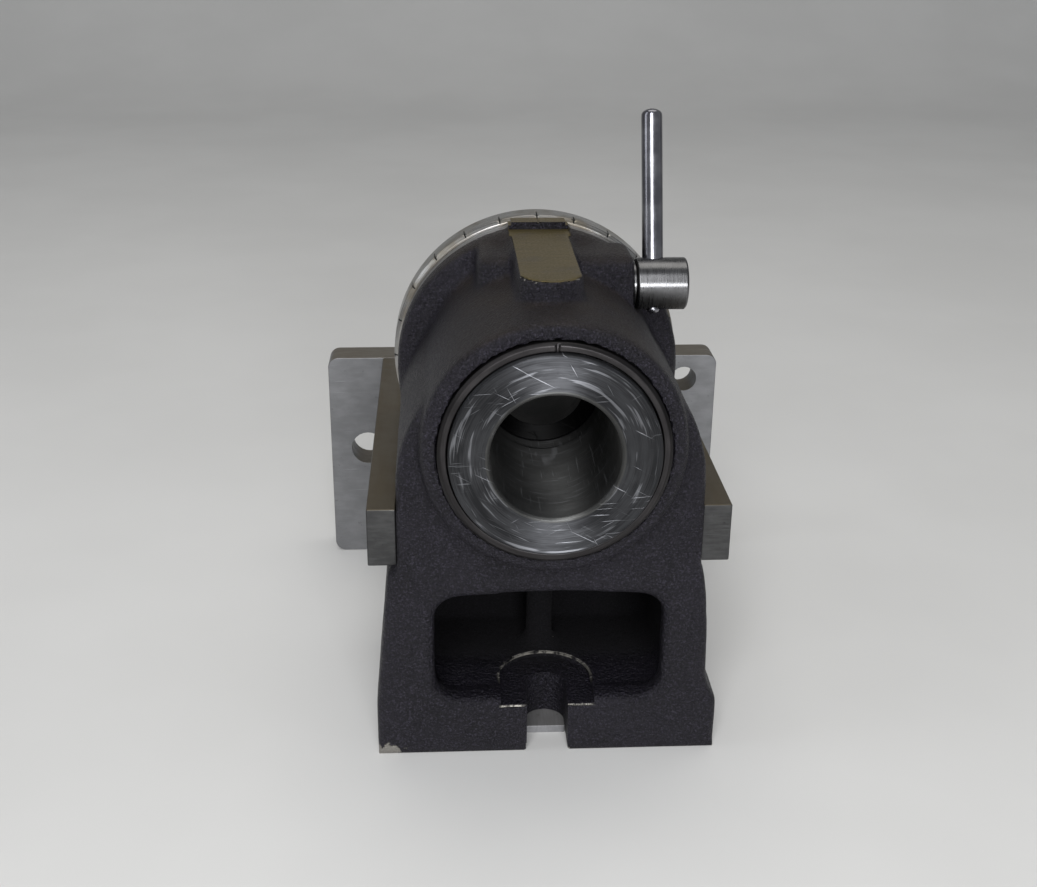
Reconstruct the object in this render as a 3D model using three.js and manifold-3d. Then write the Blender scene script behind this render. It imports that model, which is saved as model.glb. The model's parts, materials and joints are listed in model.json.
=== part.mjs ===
// Horizontal-spindle rotary table: a cast pedestal carries a hollow spindle with a graduated dial on
// its rear end. A lever turns a cam shaft that presses a brass shoe on the spindle to lock it. Two
// side bars hold a mounting plate off the back of the casting.
//
// Millimetres. X is to the right, Y runs back from the front face of the foot, Z is up from the table.
// The finished group is moved along Y so that its origin is under the middle of its bounding box.

import * as THREE from 'three';
import { mergeVertices } from 'three/addons/utils/BufferGeometryUtils.js';
import Module from 'manifold-3d';

const wasm = await Module();
wasm.setup();

// ---------------------------------------------------------------- driving dimensions

const FIT_GAP = 0.3; // space left between any two pieces that touch
const OVERCUT = 4; // how far a cutting tool runs past the surface it starts from

const FOOT_WIDTH = 128;
const FOOT_LENGTH = 88;
const FOOT_HEIGHT = 21;
const BODY_RIGHT = 59.6; // the pedestal's right side just above the foot fillet
const BODY_RIGHT_TOP = 55.6; // the same side just under the bar
const BODY_LEFT_TOP = 58.8; // the left side slopes straight from the foot to this half width
const LEDGE_WIDTH = 110; // width between the two machined bar seats

const SPINDLE_HEIGHT = 127;
const SPINDLE_FACE = -13.4;
const SPINDLE_END = 104;
const NOSE_RADIUS = 36.6;
const BORE_RADIUS = 22.5;
const BORE_DEPTH = 73;
const TAIL_BORE_RADIUS = 17;
const FRONT_JOURNAL_RADIUS = 30.5;
const MIDDLE_RADIUS = 29;
const REAR_JOURNAL_RADIUS = 26.5;
const SEAT_RADIUS = 25;

const BARREL_RADIUS = 46.5;
const BARREL_FACE = -9;
const BUSH_FACE = -11.4;
const BUSH_RIM_RADIUS = 40.3;
const FLANGE_RADIUS = 56;
const FLANGE_FRONT = 78;
const FLANGE_PAINT_END = 88;
const FLANGE_BACK = 95.7;

const DIAL_RADIUS = 57.5;
const DIAL_THICKNESS = 12.5;
const DIAL_FRONT = 96;
const DIAL_DIVISIONS = 24;

const PAD_HALF_WIDTH = 11.7;
const PAD_HEIGHT = 181;
const LAND_HEIGHT = 183.8;

const LEVER_Y = 66;
const LEVER_Z = 165.2;
const LEVER_TILT = THREE.MathUtils.degToRad(20); // the rod leans back from upright at rest
const LEVER_REACH = 66;
const ROD_RADIUS = 4;
const HUB_RADIUS = 9.9;
const HUB_LENGTH = 19.4;
const SHAFT_RADIUS = 6;
const CAM_RADIUS = 4.2;
const CAM_THROW = 0.7;
const BOSS_LEFT = -24.6;
const BOSS_RIGHT = 34.2;

const BAR_THICKNESS = 10.5;
const BAR_BOTTOM = 77.6;
const BAR_TOP = 100;
const BAR_FRONT = 5.5;

const PLATE_WIDTH = 183;
const PLATE_THICKNESS = 16;
const PLATE_FRONT = 172;

const SLOT_WIDTH = 15.5;
const SLOT_DEPTH = 23.6;
const SPOTFACE_RADIUS = 17.6;
const SPOTFACE_HEIGHT = 20.3;
const TENON_HEIGHT = 3.1;

// Facets round a full circle.
const LARGE_ROUND = 64;
const MEDIUM_ROUND = 36;
const SMALL_ROUND = 24;
const SCREW_ROUND = 12;

// ---------------------------------------------------------------- geometry helpers

function toSolid(geometry) {
  const bare = geometry.clone();
  bare.deleteAttribute('normal');
  bare.deleteAttribute('uv');
  const merged = mergeVertices(bare, 1e-4);
  const index = merged.index.array;
  const triangles = [];
  for (let i = 0; i < index.length; i += 3) {
    const [a, b, c] = index.slice(i, i + 3);
    const degenerate = a === b || b === c || c === a;
    if (!degenerate) triangles.push(a, b, c);
  }
  const mesh = new wasm.Mesh({
    numProp: 3,
    vertProperties: new Float32Array(merged.attributes.position.array),
    triVerts: new Uint32Array(triangles),
  });
  return new wasm.Manifold(mesh);
}

function toGeometry(solid) {
  const mesh = solid.getMesh();
  const geometry = new THREE.BufferGeometry();
  geometry.setAttribute('position', new THREE.BufferAttribute(mesh.vertProperties, 3));
  geometry.setIndex(new THREE.BufferAttribute(mesh.triVerts, 1));
  geometry.computeVertexNormals();
  return geometry;
}

function join(geometries) {
  const solids = geometries.map(toSolid);
  return toGeometry(solids.reduce((whole, next) => whole.add(next)));
}

function cut(geometry, tools) {
  const solids = tools.map(toSolid);
  return toGeometry(solids.reduce((rest, tool) => rest.subtract(tool), toSolid(geometry)));
}

// A profile of [radius, y] pairs turned about the Y axis. It runs with Y rising on the outside.
function turned(profile, segments = MEDIUM_ROUND) {
  const points = profile.map(([radius, y]) => new THREE.Vector2(radius, y));
  return new THREE.LatheGeometry(points, segments);
}

function ring(inner, outer, start, end, segments = MEDIUM_ROUND) {
  return turned([[inner, start], [outer, start], [outer, end], [inner, end], [inner, start]], segments);
}

function arcPoints(centreR, centreY, radius, fromDegrees, toDegrees, steps = 4) {
  const points = [];
  for (let i = 0; i <= steps; i++) {
    const angle = THREE.MathUtils.degToRad(fromDegrees + ((toDegrees - fromDegrees) * i) / steps);
    points.push([centreR + radius * Math.cos(angle), centreY + radius * Math.sin(angle)]);
  }
  return points;
}

function block(xMin, xMax, yMin, yMax, zMin, zMax) {
  const geometry = new THREE.BoxGeometry(xMax - xMin, yMax - yMin, zMax - zMin);
  return geometry.translate((xMin + xMax) / 2, (yMin + yMax) / 2, (zMin + zMax) / 2);
}

function pinAlongX(radius, xMin, xMax, y, z, segments = SMALL_ROUND) {
  const geometry = new THREE.CylinderGeometry(radius, radius, xMax - xMin, segments);
  return geometry.rotateZ(Math.PI / 2).translate((xMin + xMax) / 2, y, z);
}

function pinAlongY(radius, yMin, yMax, x, z, segments = SMALL_ROUND) {
  const geometry = new THREE.CylinderGeometry(radius, radius, yMax - yMin, segments);
  return geometry.translate(x, (yMin + yMax) / 2, z);
}

function pinAlongZ(radius, zMin, zMax, x, y, segments = SMALL_ROUND) {
  const geometry = new THREE.CylinderGeometry(radius, radius, zMax - zMin, segments);
  return geometry.rotateX(Math.PI / 2).translate(x, y, (zMin + zMax) / 2);
}

// An outline drawn in X and Z, extruded along Y between two planes, with its end edges rounded.
function extrudedAlongY(shape, yMin, yMax, rounding = 0, curveSegments = 7) {
  const geometry = new THREE.ExtrudeGeometry(shape, {
    depth: yMax - yMin - 2 * rounding,
    bevelEnabled: rounding > 0,
    bevelThickness: rounding,
    bevelSize: rounding,
    bevelOffset: -rounding,
    bevelSegments: 2,
    curveSegments,
  });
  return geometry.rotateX(Math.PI / 2).translate(0, yMax - rounding, 0);
}

// An outline drawn in X and Y, extruded upwards between two heights.
function extrudedAlongZ(shape, zMin, zMax, curveSegments = 7) {
  const options = { depth: zMax - zMin, bevelEnabled: false, curveSegments };
  return new THREE.ExtrudeGeometry(shape, options).translate(0, 0, zMin);
}

function roundedRectangle(xMin, xMax, yMin, yMax, radius) {
  const shape = new THREE.Shape();
  shape.moveTo(xMin + radius, yMin);
  shape.lineTo(xMax - radius, yMin);
  shape.absarc(xMax - radius, yMin + radius, radius, -Math.PI / 2, 0);
  shape.lineTo(xMax, yMax - radius);
  shape.absarc(xMax - radius, yMax - radius, radius, 0, Math.PI / 2);
  shape.lineTo(xMin + radius, yMax);
  shape.absarc(xMin + radius, yMax - radius, radius, Math.PI / 2, Math.PI);
  shape.lineTo(xMin, yMin + radius);
  shape.absarc(xMin + radius, yMin + radius, radius, Math.PI, Math.PI * 1.5);
  return shape;
}

function paint(color, roughness, metalness) {
  return new THREE.MeshStandardMaterial({ color, roughness, metalness });
}

function part(name, geometry, material) {
  const mesh = new THREE.Mesh(geometry, material);
  mesh.name = name;
  return mesh;
}

// ---------------------------------------------------------------- materials

const castPaint = paint(0x26262a, 0.75, 0.2);
const groundSteel = paint(0x9a9ca0, 0.25, 1.0);
const darkSteel = paint(0x3a393b, 0.4, 0.9);
const dialSteel = paint(0x8d8b84, 0.35, 1.0);
const hubSteel = paint(0x8b8d90, 0.3, 1.0);
const rodSteel = paint(0xa6a6ae, 0.12, 1.0);
const barSteel = paint(0x6a6964, 0.5, 0.9);
const plateSteel = paint(0x75777a, 0.5, 0.8);
const tenonSteel = paint(0x808286, 0.4, 0.9);
const blackOxide = paint(0x1d1d1f, 0.45, 0.8);
const bronze = paint(0x8a6a3a, 0.4, 1.0);
const brass = paint(0xa98d4c, 0.35, 1.0);

// ---------------------------------------------------------------- screws

const CAP_SCREW = { shank: 2.5, head: 4.25, headHeight: 5, socket: 2.3, socketDepth: 2.6 };
const SMALL_SCREW = { shank: 1.5, head: 2.6, headHeight: 1.7, socket: 1.1, socketDepth: 1.0 };
const TENON_SCREW = { shank: 2, head: 3.8, headHeight: 1.9, socket: 1.4, socketDepth: 1.3 };

// A socket-head cap screw. The top of its head is at Y = 0 and faces +Y, and its shank runs to -Y.
function capScrew(size, length) {
  const chamfer = size.shank * 0.3;
  const blank = turned([
    [0, -size.headHeight - length],
    [size.shank - chamfer, -size.headHeight - length],
    [size.shank, -size.headHeight - length + chamfer],
    [size.shank, -size.headHeight],
    [size.head, -size.headHeight],
    [size.head, -0.4],
    [size.head - 0.4, 0],
    [0, 0],
  ], SCREW_ROUND);
  return cut(blank, [hexSocket(size)]);
}

// A countersunk screw, placed the same way as the cap screw. Its length includes the head.
function countersunkScrew(size, length) {
  const blank = turned([
    [0, -length],
    [size.shank * 0.7, -length],
    [size.shank, -length + size.shank * 0.3],
    [size.shank, -size.headHeight],
    [size.head, -0.2],
    [size.head, 0],
    [0, 0],
  ], SCREW_ROUND);
  return cut(blank, [hexSocket(size)]);
}

function hexSocket(size) {
  return pinAlongY(size.socket, -size.socketDepth, OVERCUT, 0, 0, 6);
}

// The clearance that a countersunk screw needs, with the same origin as the screw.
function countersink(size, length) {
  return turned([
    [0, -length - FIT_GAP],
    [size.shank + FIT_GAP, -length - FIT_GAP],
    [size.shank + FIT_GAP, -size.headHeight - FIT_GAP],
    [size.head + FIT_GAP, -0.2],
    [size.head + FIT_GAP, OVERCUT],
    [0, OVERCUT],
  ], SCREW_ROUND);
}

const TENON_SCREW_LENGTH = 12;
const TENON_SCREW_SINK = 0.4;
const KEY_SCREW_LENGTH = 9;

// ---------------------------------------------------------------- base casting

const WINDOW = { halfWidth: 42.2, bottom: 23.5, top: 68, corner: 9, wall: 9 };
const CAVITY = { halfWidth: 47, bottom: 22.4, top: 70, corner: 7, back: 66 };
const PILLAR = { x: -0.5, y: 46, radius: 5.5, footRadius: 8.5, footHeight: 3.5 };
const FRONT_BORE_END = 22.3;
const FRONT_BUSH_STEP = 4;
const FRONT_SEAT_RADIUS = 36;
const REAR_SEAT_RADIUS = 32;
const REAR_SEAT_START = 74;
const THRUST_SEAT_RADIUS = 40;
const THRUST_THICKNESS = 1.7;
const SHOE_RADIUS = 6.5;
const SHAFT_END = -19.9; // the shaft's bore is blind and the shoe keeps the shaft in it
const CROSS_BOSS = { front: 54, back: 84, bottom: 140, top: 178 };
const BAR_SCREW_Y = [28, 66];
const BAR_SCREW_REACH = 12;

const barHeight = (BAR_BOTTOM + BAR_TOP) / 2;
const barInner = LEDGE_WIDTH / 2 + FIT_GAP;
const barOuter = barInner + BAR_THICKNESS;
const barCentre = (barInner + barOuter) / 2;
const tenonHalfWidth = SLOT_WIDTH / 2;
const keywayHeight = TENON_HEIGHT + FIT_GAP;
const tenons = [
  { name: 'front_tenon', start: 12.3, end: 50, screwY: 38 },
  { name: 'rear_tenon', start: 60, end: 84, screwY: 72 },
];

// Front outline of foot, pedestal and shoulders. It starts below the table line, which is cut later.
function pedestalOutline() {
  const foot = FOOT_WIDTH / 2;
  const ledge = LEDGE_WIDTH / 2;
  const ledgeZ = BAR_BOTTOM - FIT_GAP;
  const filletTop = FOOT_HEIGHT + 13;
  const shoulder = { x: 44.2, z: 143 };
  const shape = new THREE.Shape();
  shape.moveTo(-foot, -OVERCUT);
  shape.lineTo(foot, -OVERCUT);
  shape.lineTo(foot, FOOT_HEIGHT);
  shape.bezierCurveTo(BODY_RIGHT + 1, FOOT_HEIGHT + 4, BODY_RIGHT, FOOT_HEIGHT + 8, BODY_RIGHT, filletTop);
  shape.quadraticCurveTo(BODY_RIGHT - 0.4, ledgeZ - 15, BODY_RIGHT_TOP, ledgeZ);
  shape.lineTo(ledge, ledgeZ);
  shape.lineTo(ledge, 110);
  shape.quadraticCurveTo(ledge, 128, shoulder.x, shoulder.z);
  shape.lineTo(-shoulder.x, shoulder.z);
  shape.quadraticCurveTo(-ledge, 128, -ledge, 110);
  shape.lineTo(-ledge, ledgeZ);
  shape.lineTo(-BODY_LEFT_TOP, ledgeZ);
  shape.lineTo(-foot, FOOT_HEIGHT);
  return shape;
}

// The barrel with its rounded lip, and the flange behind it with a machined rim for the dial.
function barrelAndFlange() {
  const lip = 3;
  const fillet = 5;
  const edge = 2.5;
  const profile = [
    [0, BARREL_FACE],
    ...arcPoints(BARREL_RADIUS - lip, BARREL_FACE + lip, lip, -90, 0),
    ...arcPoints(BARREL_RADIUS + fillet, FLANGE_FRONT - fillet, fillet, 180, 90),
    ...arcPoints(FLANGE_RADIUS - edge, FLANGE_FRONT + edge, edge, -90, 0),
    [FLANGE_RADIUS, FLANGE_PAINT_END],
    [FLANGE_RADIUS - 0.5, FLANGE_PAINT_END + 0.5],
    [FLANGE_RADIUS - 0.5, FLANGE_BACK - 0.6],
    [FLANGE_RADIUS - 1.1, FLANGE_BACK],
    [0, FLANGE_BACK],
  ];
  return turned(profile, LARGE_ROUND).translate(0, 0, SPINDLE_HEIGHT);
}

// The flat-topped boss on the barrel, round at its front end, with the index land behind it.
function padBoss() {
  const noseCentre = 24;
  const rounding = 12;
  const spread = Math.acos(PAD_HALF_WIDTH / rounding);
  const shape = new THREE.Shape();
  shape.moveTo(PAD_HALF_WIDTH, FLANGE_PAINT_END);
  shape.lineTo(-PAD_HALF_WIDTH, FLANGE_PAINT_END);
  shape.absarc(0, noseCentre, rounding, Math.PI + spread, 2 * Math.PI - spread);
  const root = SPINDLE_HEIGHT + BARREL_RADIUS / 2;
  const pad = extrudedAlongZ(shape, root, PAD_HEIGHT);
  const landHalfWidth = PAD_HALF_WIDTH - 1.1;
  const landStart = FLANGE_PAINT_END + FIT_GAP;
  const land = block(-landHalfWidth, landHalfWidth, landStart, FLANGE_BACK, root, LAND_HEIGHT);
  return [pad, land];
}

// The block across the barrel that carries the clamp shaft.
function crossBoss() {
  const { front, back, bottom, top } = CROSS_BOSS;
  const corner = 6;
  const shape = roundedRectangle(front, back, bottom, top, corner);
  const length = BOSS_RIGHT - BOSS_LEFT;
  const rounding = 3;
  const geometry = new THREE.ExtrudeGeometry(shape, {
    depth: length - 2 * rounding,
    bevelThickness: rounding,
    bevelSize: rounding,
    bevelOffset: -rounding,
    bevelSegments: 2,
    curveSegments: 6,
  });
  // The outline's two axes become Y and Z, and the extrusion runs along X.
  geometry.rotateX(Math.PI / 2).rotateZ(Math.PI / 2);
  return geometry.translate(BOSS_LEFT + rounding, 0, 0);
}

function spindleTunnel() {
  const tunnel = turned([
    [0, BARREL_FACE - OVERCUT],
    [BUSH_RIM_RADIUS + FIT_GAP, BARREL_FACE - OVERCUT],
    [BUSH_RIM_RADIUS + FIT_GAP, FRONT_BUSH_STEP + FIT_GAP],
    [FRONT_SEAT_RADIUS + FIT_GAP, FRONT_BUSH_STEP + FIT_GAP],
    [FRONT_SEAT_RADIUS + FIT_GAP, FRONT_BORE_END],
    [MIDDLE_RADIUS + 2, FRONT_BORE_END],
    [MIDDLE_RADIUS + 2, REAR_SEAT_START - FIT_GAP],
    [REAR_SEAT_RADIUS + FIT_GAP, REAR_SEAT_START - FIT_GAP],
    [REAR_SEAT_RADIUS + FIT_GAP, FLANGE_BACK - THRUST_THICKNESS - FIT_GAP],
    [THRUST_SEAT_RADIUS + FIT_GAP, FLANGE_BACK - THRUST_THICKNESS - FIT_GAP],
    [THRUST_SEAT_RADIUS + FIT_GAP, FLANGE_BACK + OVERCUT],
    [0, FLANGE_BACK + OVERCUT],
  ]);
  return tunnel.translate(0, 0, SPINDLE_HEIGHT);
}

// The arched window in the front wall, and the wider cored space behind it.
function coredHollow() {
  const { halfWidth, bottom, top, corner, wall } = WINDOW;
  const arch = 1.5;
  const window = new THREE.Shape();
  window.moveTo(-halfWidth + corner, bottom);
  window.lineTo(halfWidth - corner, bottom);
  window.absarc(halfWidth - corner, bottom + corner, corner, -Math.PI / 2, 0);
  window.lineTo(halfWidth, top - corner - arch);
  window.absarc(halfWidth - corner, top - corner - arch, corner, 0, Math.PI / 2);
  window.quadraticCurveTo(0, top + arch, -halfWidth + corner, top - arch);
  window.absarc(-halfWidth + corner, top - corner - arch, corner, Math.PI / 2, Math.PI);
  window.lineTo(-halfWidth, bottom + corner);
  window.absarc(-halfWidth + corner, bottom + corner, corner, Math.PI, Math.PI * 1.5);
  const room = CAVITY;
  const hollow = roundedRectangle(-room.halfWidth, room.halfWidth, room.bottom, room.top, room.corner);
  return [
    extrudedAlongY(window, -OVERCUT, wall + 1),
    extrudedAlongY(hollow, wall, room.back, 2),
  ];
}

function boltSlot() {
  const halfWidth = SLOT_WIDTH / 2;
  const centre = SLOT_DEPTH - halfWidth;
  const slot = new THREE.Shape();
  slot.moveTo(-halfWidth, -OVERCUT);
  slot.lineTo(halfWidth, -OVERCUT);
  slot.absarc(0, centre, halfWidth, 0, Math.PI);
  const spotface = new THREE.Shape();
  spotface.moveTo(-SPOTFACE_RADIUS, -OVERCUT);
  spotface.lineTo(SPOTFACE_RADIUS, -OVERCUT);
  spotface.absarc(0, centre + 2, SPOTFACE_RADIUS, 0, Math.PI);
  return [
    extrudedAlongZ(slot, -OVERCUT, CAVITY.bottom + OVERCUT),
    extrudedAlongZ(spotface, SPOTFACE_HEIGHT, CAVITY.bottom + OVERCUT),
  ];
}

function leverBores() {
  return [
    pinAlongX(SHAFT_RADIUS + FIT_GAP, SHAFT_END, BOSS_RIGHT + OVERCUT, LEVER_Y, LEVER_Z),
    pinAlongX(HUB_RADIUS + 1, BOSS_RIGHT, FLANGE_RADIUS, LEVER_Y, LEVER_Z, MEDIUM_ROUND),
    pinAlongZ(SHOE_RADIUS + FIT_GAP, SPINDLE_HEIGHT, LEVER_Z, 0, LEVER_Y),
  ];
}

function tenonScrewHoles() {
  return tenons.map(({ screwY }) => {
    const top = TENON_SCREW_SINK + TENON_SCREW_LENGTH + FIT_GAP;
    return pinAlongZ(TENON_SCREW.shank + FIT_GAP, -OVERCUT, top, 0, screwY, SCREW_ROUND);
  });
}

function barScrewHoles() {
  const holes = [];
  const depth = LEDGE_WIDTH / 2 - BAR_SCREW_REACH;
  const radius = CAP_SCREW.shank + FIT_GAP;
  for (const y of BAR_SCREW_Y) {
    holes.push(pinAlongX(radius, depth, FOOT_WIDTH / 2, y, barHeight, SCREW_ROUND));
    holes.push(pinAlongX(radius, -FOOT_WIDTH / 2, -depth, y, barHeight, SCREW_ROUND));
  }
  return holes;
}

// The milling cutter's pass over the pad, which runs on through the flange as far as the land.
function padPass() {
  return block(-PAD_HALF_WIDTH, PAD_HALF_WIDTH, FLANGE_FRONT - 2 * OVERCUT, FLANGE_PAINT_END + FIT_GAP,
    PAD_HEIGHT, LAND_HEIGHT + OVERCUT);
}

// The index line across the land, which the dial's graduations are read against.
function zeroLine() {
  const halfWidth = 0.3;
  const depth = 0.4;
  return block(-halfWidth, halfWidth, FLANGE_PAINT_END - OVERCUT, FLANGE_BACK + OVERCUT,
    LAND_HEIGHT - depth, LAND_HEIGHT + OVERCUT);
}

function baseCasting() {
  const rough = join([
    extrudedAlongY(pedestalOutline(), 0, FOOT_LENGTH, 1.5),
    barrelAndFlange(),
    crossBoss(),
    ...padBoss(),
  ]);
  const foot = FOOT_WIDTH;
  const hollowed = cut(rough, [
    block(-foot, foot, -foot, 2 * foot, -foot, 0),
    block(-tenonHalfWidth - FIT_GAP, tenonHalfWidth + FIT_GAP, -OVERCUT, FOOT_LENGTH + OVERCUT,
      -OVERCUT, keywayHeight),
    spindleTunnel(),
    ...coredHollow(),
    ...boltSlot(),
    ...leverBores(),
    ...tenonScrewHoles(),
    ...barScrewHoles(),
    padPass(),
    zeroLine(),
  ]);
  const { x, y, radius, footRadius, footHeight } = PILLAR;
  const pillarFoot = new THREE.CylinderGeometry(radius, footRadius, footHeight, SMALL_ROUND);
  pillarFoot.rotateX(Math.PI / 2).translate(x, y, CAVITY.bottom + footHeight / 2 - 0.5);
  const casting = join([
    hollowed,
    pinAlongZ(radius, CAVITY.bottom - 1, CAVITY.top + 1, x, y),
    pillarFoot,
  ]);
  return part('base_casting', casting, castPaint);
}

// ---------------------------------------------------------------- bearings

function bearings() {
  const innerFront = FRONT_JOURNAL_RADIUS + FIT_GAP;
  const noseClearance = NOSE_RADIUS + FIT_GAP;
  const shoulder = SPINDLE_FACE + 9.7;
  const ringGeometry = turned([
    [innerFront, shoulder],
    [noseClearance, shoulder],
    [noseClearance, BUSH_FACE + 0.4],
    [noseClearance + 0.4, BUSH_FACE],
    [BUSH_RIM_RADIUS - 0.8, BUSH_FACE],
    [BUSH_RIM_RADIUS, BUSH_FACE + 0.8],
    [BUSH_RIM_RADIUS, FRONT_BUSH_STEP],
    [FRONT_SEAT_RADIUS, FRONT_BUSH_STEP],
    [FRONT_SEAT_RADIUS, FRONT_BORE_END - FIT_GAP],
    [innerFront, FRONT_BORE_END - FIT_GAP],
    [innerFront, shoulder],
  ], LARGE_ROUND);
  const markRadius = (noseClearance + BUSH_RIM_RADIUS) / 2;
  const witnessMark = block(-0.4, 0.4, BUSH_FACE - 1, BUSH_FACE + 0.5, markRadius - 4, markRadius + 4);
  const frontBush = part('front_bush', cut(ringGeometry, [witnessMark]), darkSteel);

  const innerRear = REAR_JOURNAL_RADIUS + FIT_GAP;
  const rearEnd = FLANGE_BACK - THRUST_THICKNESS - 2 * FIT_GAP;
  const rearGeometry = ring(innerRear, REAR_SEAT_RADIUS, REAR_SEAT_START, rearEnd);
  const rearBush = part('rear_bush', rearGeometry, bronze);

  const thrustStart = FLANGE_BACK - THRUST_THICKNESS;
  const washerGeometry = ring(innerRear, THRUST_SEAT_RADIUS, thrustStart, FLANGE_BACK);
  const thrustWasher = part('thrust_washer', washerGeometry, bronze);
  const pieces = [frontBush, rearBush, thrustWasher];
  for (const piece of pieces) piece.position.z = SPINDLE_HEIGHT;
  return pieces;
}

// ---------------------------------------------------------------- spindle

// The key stands proud of the bore's wall, in a pocket that starts behind the spindle's face.
const KEY = { width: 5.6, length: 12, proud: 2.5, sunk: 3, setBack: 7 };
const keyStart = SPINDLE_FACE + KEY.setBack;
const keyScrewY = keyStart + KEY.length / 2;
const DIAL_SCREW = { circle: 21.2, length: 9, sink: 0.4 };
const DOWEL_RADIUS = 1.6;
const DIAL_WEB_START = SPINDLE_END + FIT_GAP;

function boltCircle(count, radius, startDegrees) {
  const places = [];
  for (let i = 0; i < count; i++) {
    const angle = THREE.MathUtils.degToRad(startDegrees + (360 * i) / count);
    places.push({ x: radius * Math.cos(angle), z: radius * Math.sin(angle) });
  }
  return places;
}

const dialScrewPlaces = boltCircle(3, DIAL_SCREW.circle, 90);
const dowelPlace = boltCircle(1, DIAL_SCREW.circle, 30)[0];

function keyScrewCut() {
  const depth = BORE_RADIUS - KEY.proud + TENON_SCREW_SINK;
  const tool = countersink(SMALL_SCREW, KEY_SCREW_LENGTH).rotateX(-Math.PI / 2);
  return tool.translate(0, keyScrewY, depth);
}

function spindleBody() {
  const boreEnd = SPINDLE_FACE + BORE_DEPTH;
  const shoulder = SPINDLE_FACE + 9.3;
  const blank = turned([
    [BORE_RADIUS + 0.8, SPINDLE_FACE],
    [NOSE_RADIUS - 0.6, SPINDLE_FACE],
    [NOSE_RADIUS, SPINDLE_FACE + 0.6],
    [NOSE_RADIUS, shoulder],
    [FRONT_JOURNAL_RADIUS, shoulder],
    [FRONT_JOURNAL_RADIUS, FRONT_BORE_END],
    [MIDDLE_RADIUS, FRONT_BORE_END + 1.5],
    [MIDDLE_RADIUS, REAR_SEAT_START - 1],
    [REAR_JOURNAL_RADIUS, REAR_SEAT_START],
    [REAR_JOURNAL_RADIUS, DIAL_FRONT],
    [SEAT_RADIUS, DIAL_FRONT],
    [SEAT_RADIUS, SPINDLE_END - 0.8],
    [SEAT_RADIUS - 0.8, SPINDLE_END],
    [TAIL_BORE_RADIUS, SPINDLE_END],
    [TAIL_BORE_RADIUS, boreEnd],
    [BORE_RADIUS + 0.6, boreEnd],
    [BORE_RADIUS + 0.6, boreEnd - 10],
    [BORE_RADIUS, boreEnd - 10.6],
    [BORE_RADIUS, SPINDLE_FACE + 0.8],
    [BORE_RADIUS + 0.8, SPINDLE_FACE],
  ], LARGE_ROUND);
  const keyHalf = KEY.width / 2 + FIT_GAP;
  const keyEnd = keyStart + KEY.length + FIT_GAP;
  const keyTop = BORE_RADIUS + KEY.sunk + FIT_GAP;
  const keyway = block(-keyHalf, keyHalf, keyStart - FIT_GAP, keyEnd, BORE_RADIUS - OVERCUT, keyTop);
  const screwHoles = dialScrewPlaces.map(({ x, z }) => {
    const start = SPINDLE_END - DIAL_SCREW.length;
    return pinAlongY(CAP_SCREW.shank + FIT_GAP, start, SPINDLE_END + OVERCUT, x, z, SCREW_ROUND);
  });
  const dowelHole = pinAlongY(DOWEL_RADIUS + FIT_GAP, SPINDLE_END - 6, SPINDLE_END + OVERCUT,
    dowelPlace.x, dowelPlace.z, SCREW_ROUND);
  return cut(blank, [keyway, keyScrewCut(), dowelHole, ...screwHoles, ...punchMarks()]);
}

// Three punched dots on the nose, above the key.
function punchMarks() {
  const pitch = 4.4;
  const radius = 1.1;
  const depth = 0.6;
  const height = (BORE_RADIUS + NOSE_RADIUS) / 2;
  return [-1, 0, 1].map((step) => {
    const dot = new THREE.ConeGeometry(radius * 2, depth * 2, SCREW_ROUND);
    return dot.translate(step * pitch, SPINDLE_FACE, height);
  });
}

function spindleKey() {
  const inner = BORE_RADIUS - KEY.proud;
  const outer = BORE_RADIUS + KEY.sunk;
  const blank = block(-KEY.width / 2, KEY.width / 2, keyStart, keyStart + KEY.length, inner, outer);
  return cut(blank, [keyScrewCut()]);
}

function dialDisc() {
  const back = DIAL_FRONT + DIAL_THICKNESS;
  const chamfer = 1.4;
  const blank = turned([
    [SEAT_RADIUS + FIT_GAP, DIAL_FRONT],
    [DIAL_RADIUS - chamfer, DIAL_FRONT],
    [DIAL_RADIUS, DIAL_FRONT + chamfer],
    [DIAL_RADIUS, back - 0.8],
    [DIAL_RADIUS - 0.8, back],
    [TAIL_BORE_RADIUS, back],
    [TAIL_BORE_RADIUS, DIAL_WEB_START],
    [SEAT_RADIUS + FIT_GAP, DIAL_WEB_START],
    [SEAT_RADIUS + FIT_GAP, DIAL_FRONT],
  ], LARGE_ROUND);
  const tools = [dowelHoleThroughDial(back), ...dialScrewClearance(back), ...graduations()];
  return cut(blank, tools);
}

function dowelHoleThroughDial(back) {
  const radius = DOWEL_RADIUS + FIT_GAP;
  return pinAlongY(radius, DIAL_FRONT, back + OVERCUT, dowelPlace.x, dowelPlace.z, SCREW_ROUND);
}

function dialScrewClearance(back) {
  const tools = [];
  const headFloor = back - DIAL_SCREW.sink - CAP_SCREW.headHeight * 0.5 - FIT_GAP;
  for (const { x, z } of dialScrewPlaces) {
    tools.push(pinAlongY(CAP_SCREW.shank + FIT_GAP, DIAL_FRONT, back + OVERCUT, x, z, SCREW_ROUND));
    tools.push(pinAlongY(CAP_SCREW.head + FIT_GAP, headFloor, back + OVERCUT, x, z, SCREW_ROUND));
  }
  return tools;
}

// One cut line for each division, starting at the dial's front edge.
function graduations() {
  const lineWidth = 0.5;
  const lineDepth = 0.4;
  const lineLength = 7.5;
  const lines = [];
  for (let i = 0; i < DIAL_DIVISIONS; i++) {
    const line = block(-lineWidth / 2, lineWidth / 2, DIAL_FRONT - OVERCUT, DIAL_FRONT + lineLength,
      DIAL_RADIUS - lineDepth, DIAL_RADIUS + OVERCUT);
    lines.push(line.rotateY((2 * Math.PI * i) / DIAL_DIVISIONS));
  }
  return lines;
}

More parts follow.
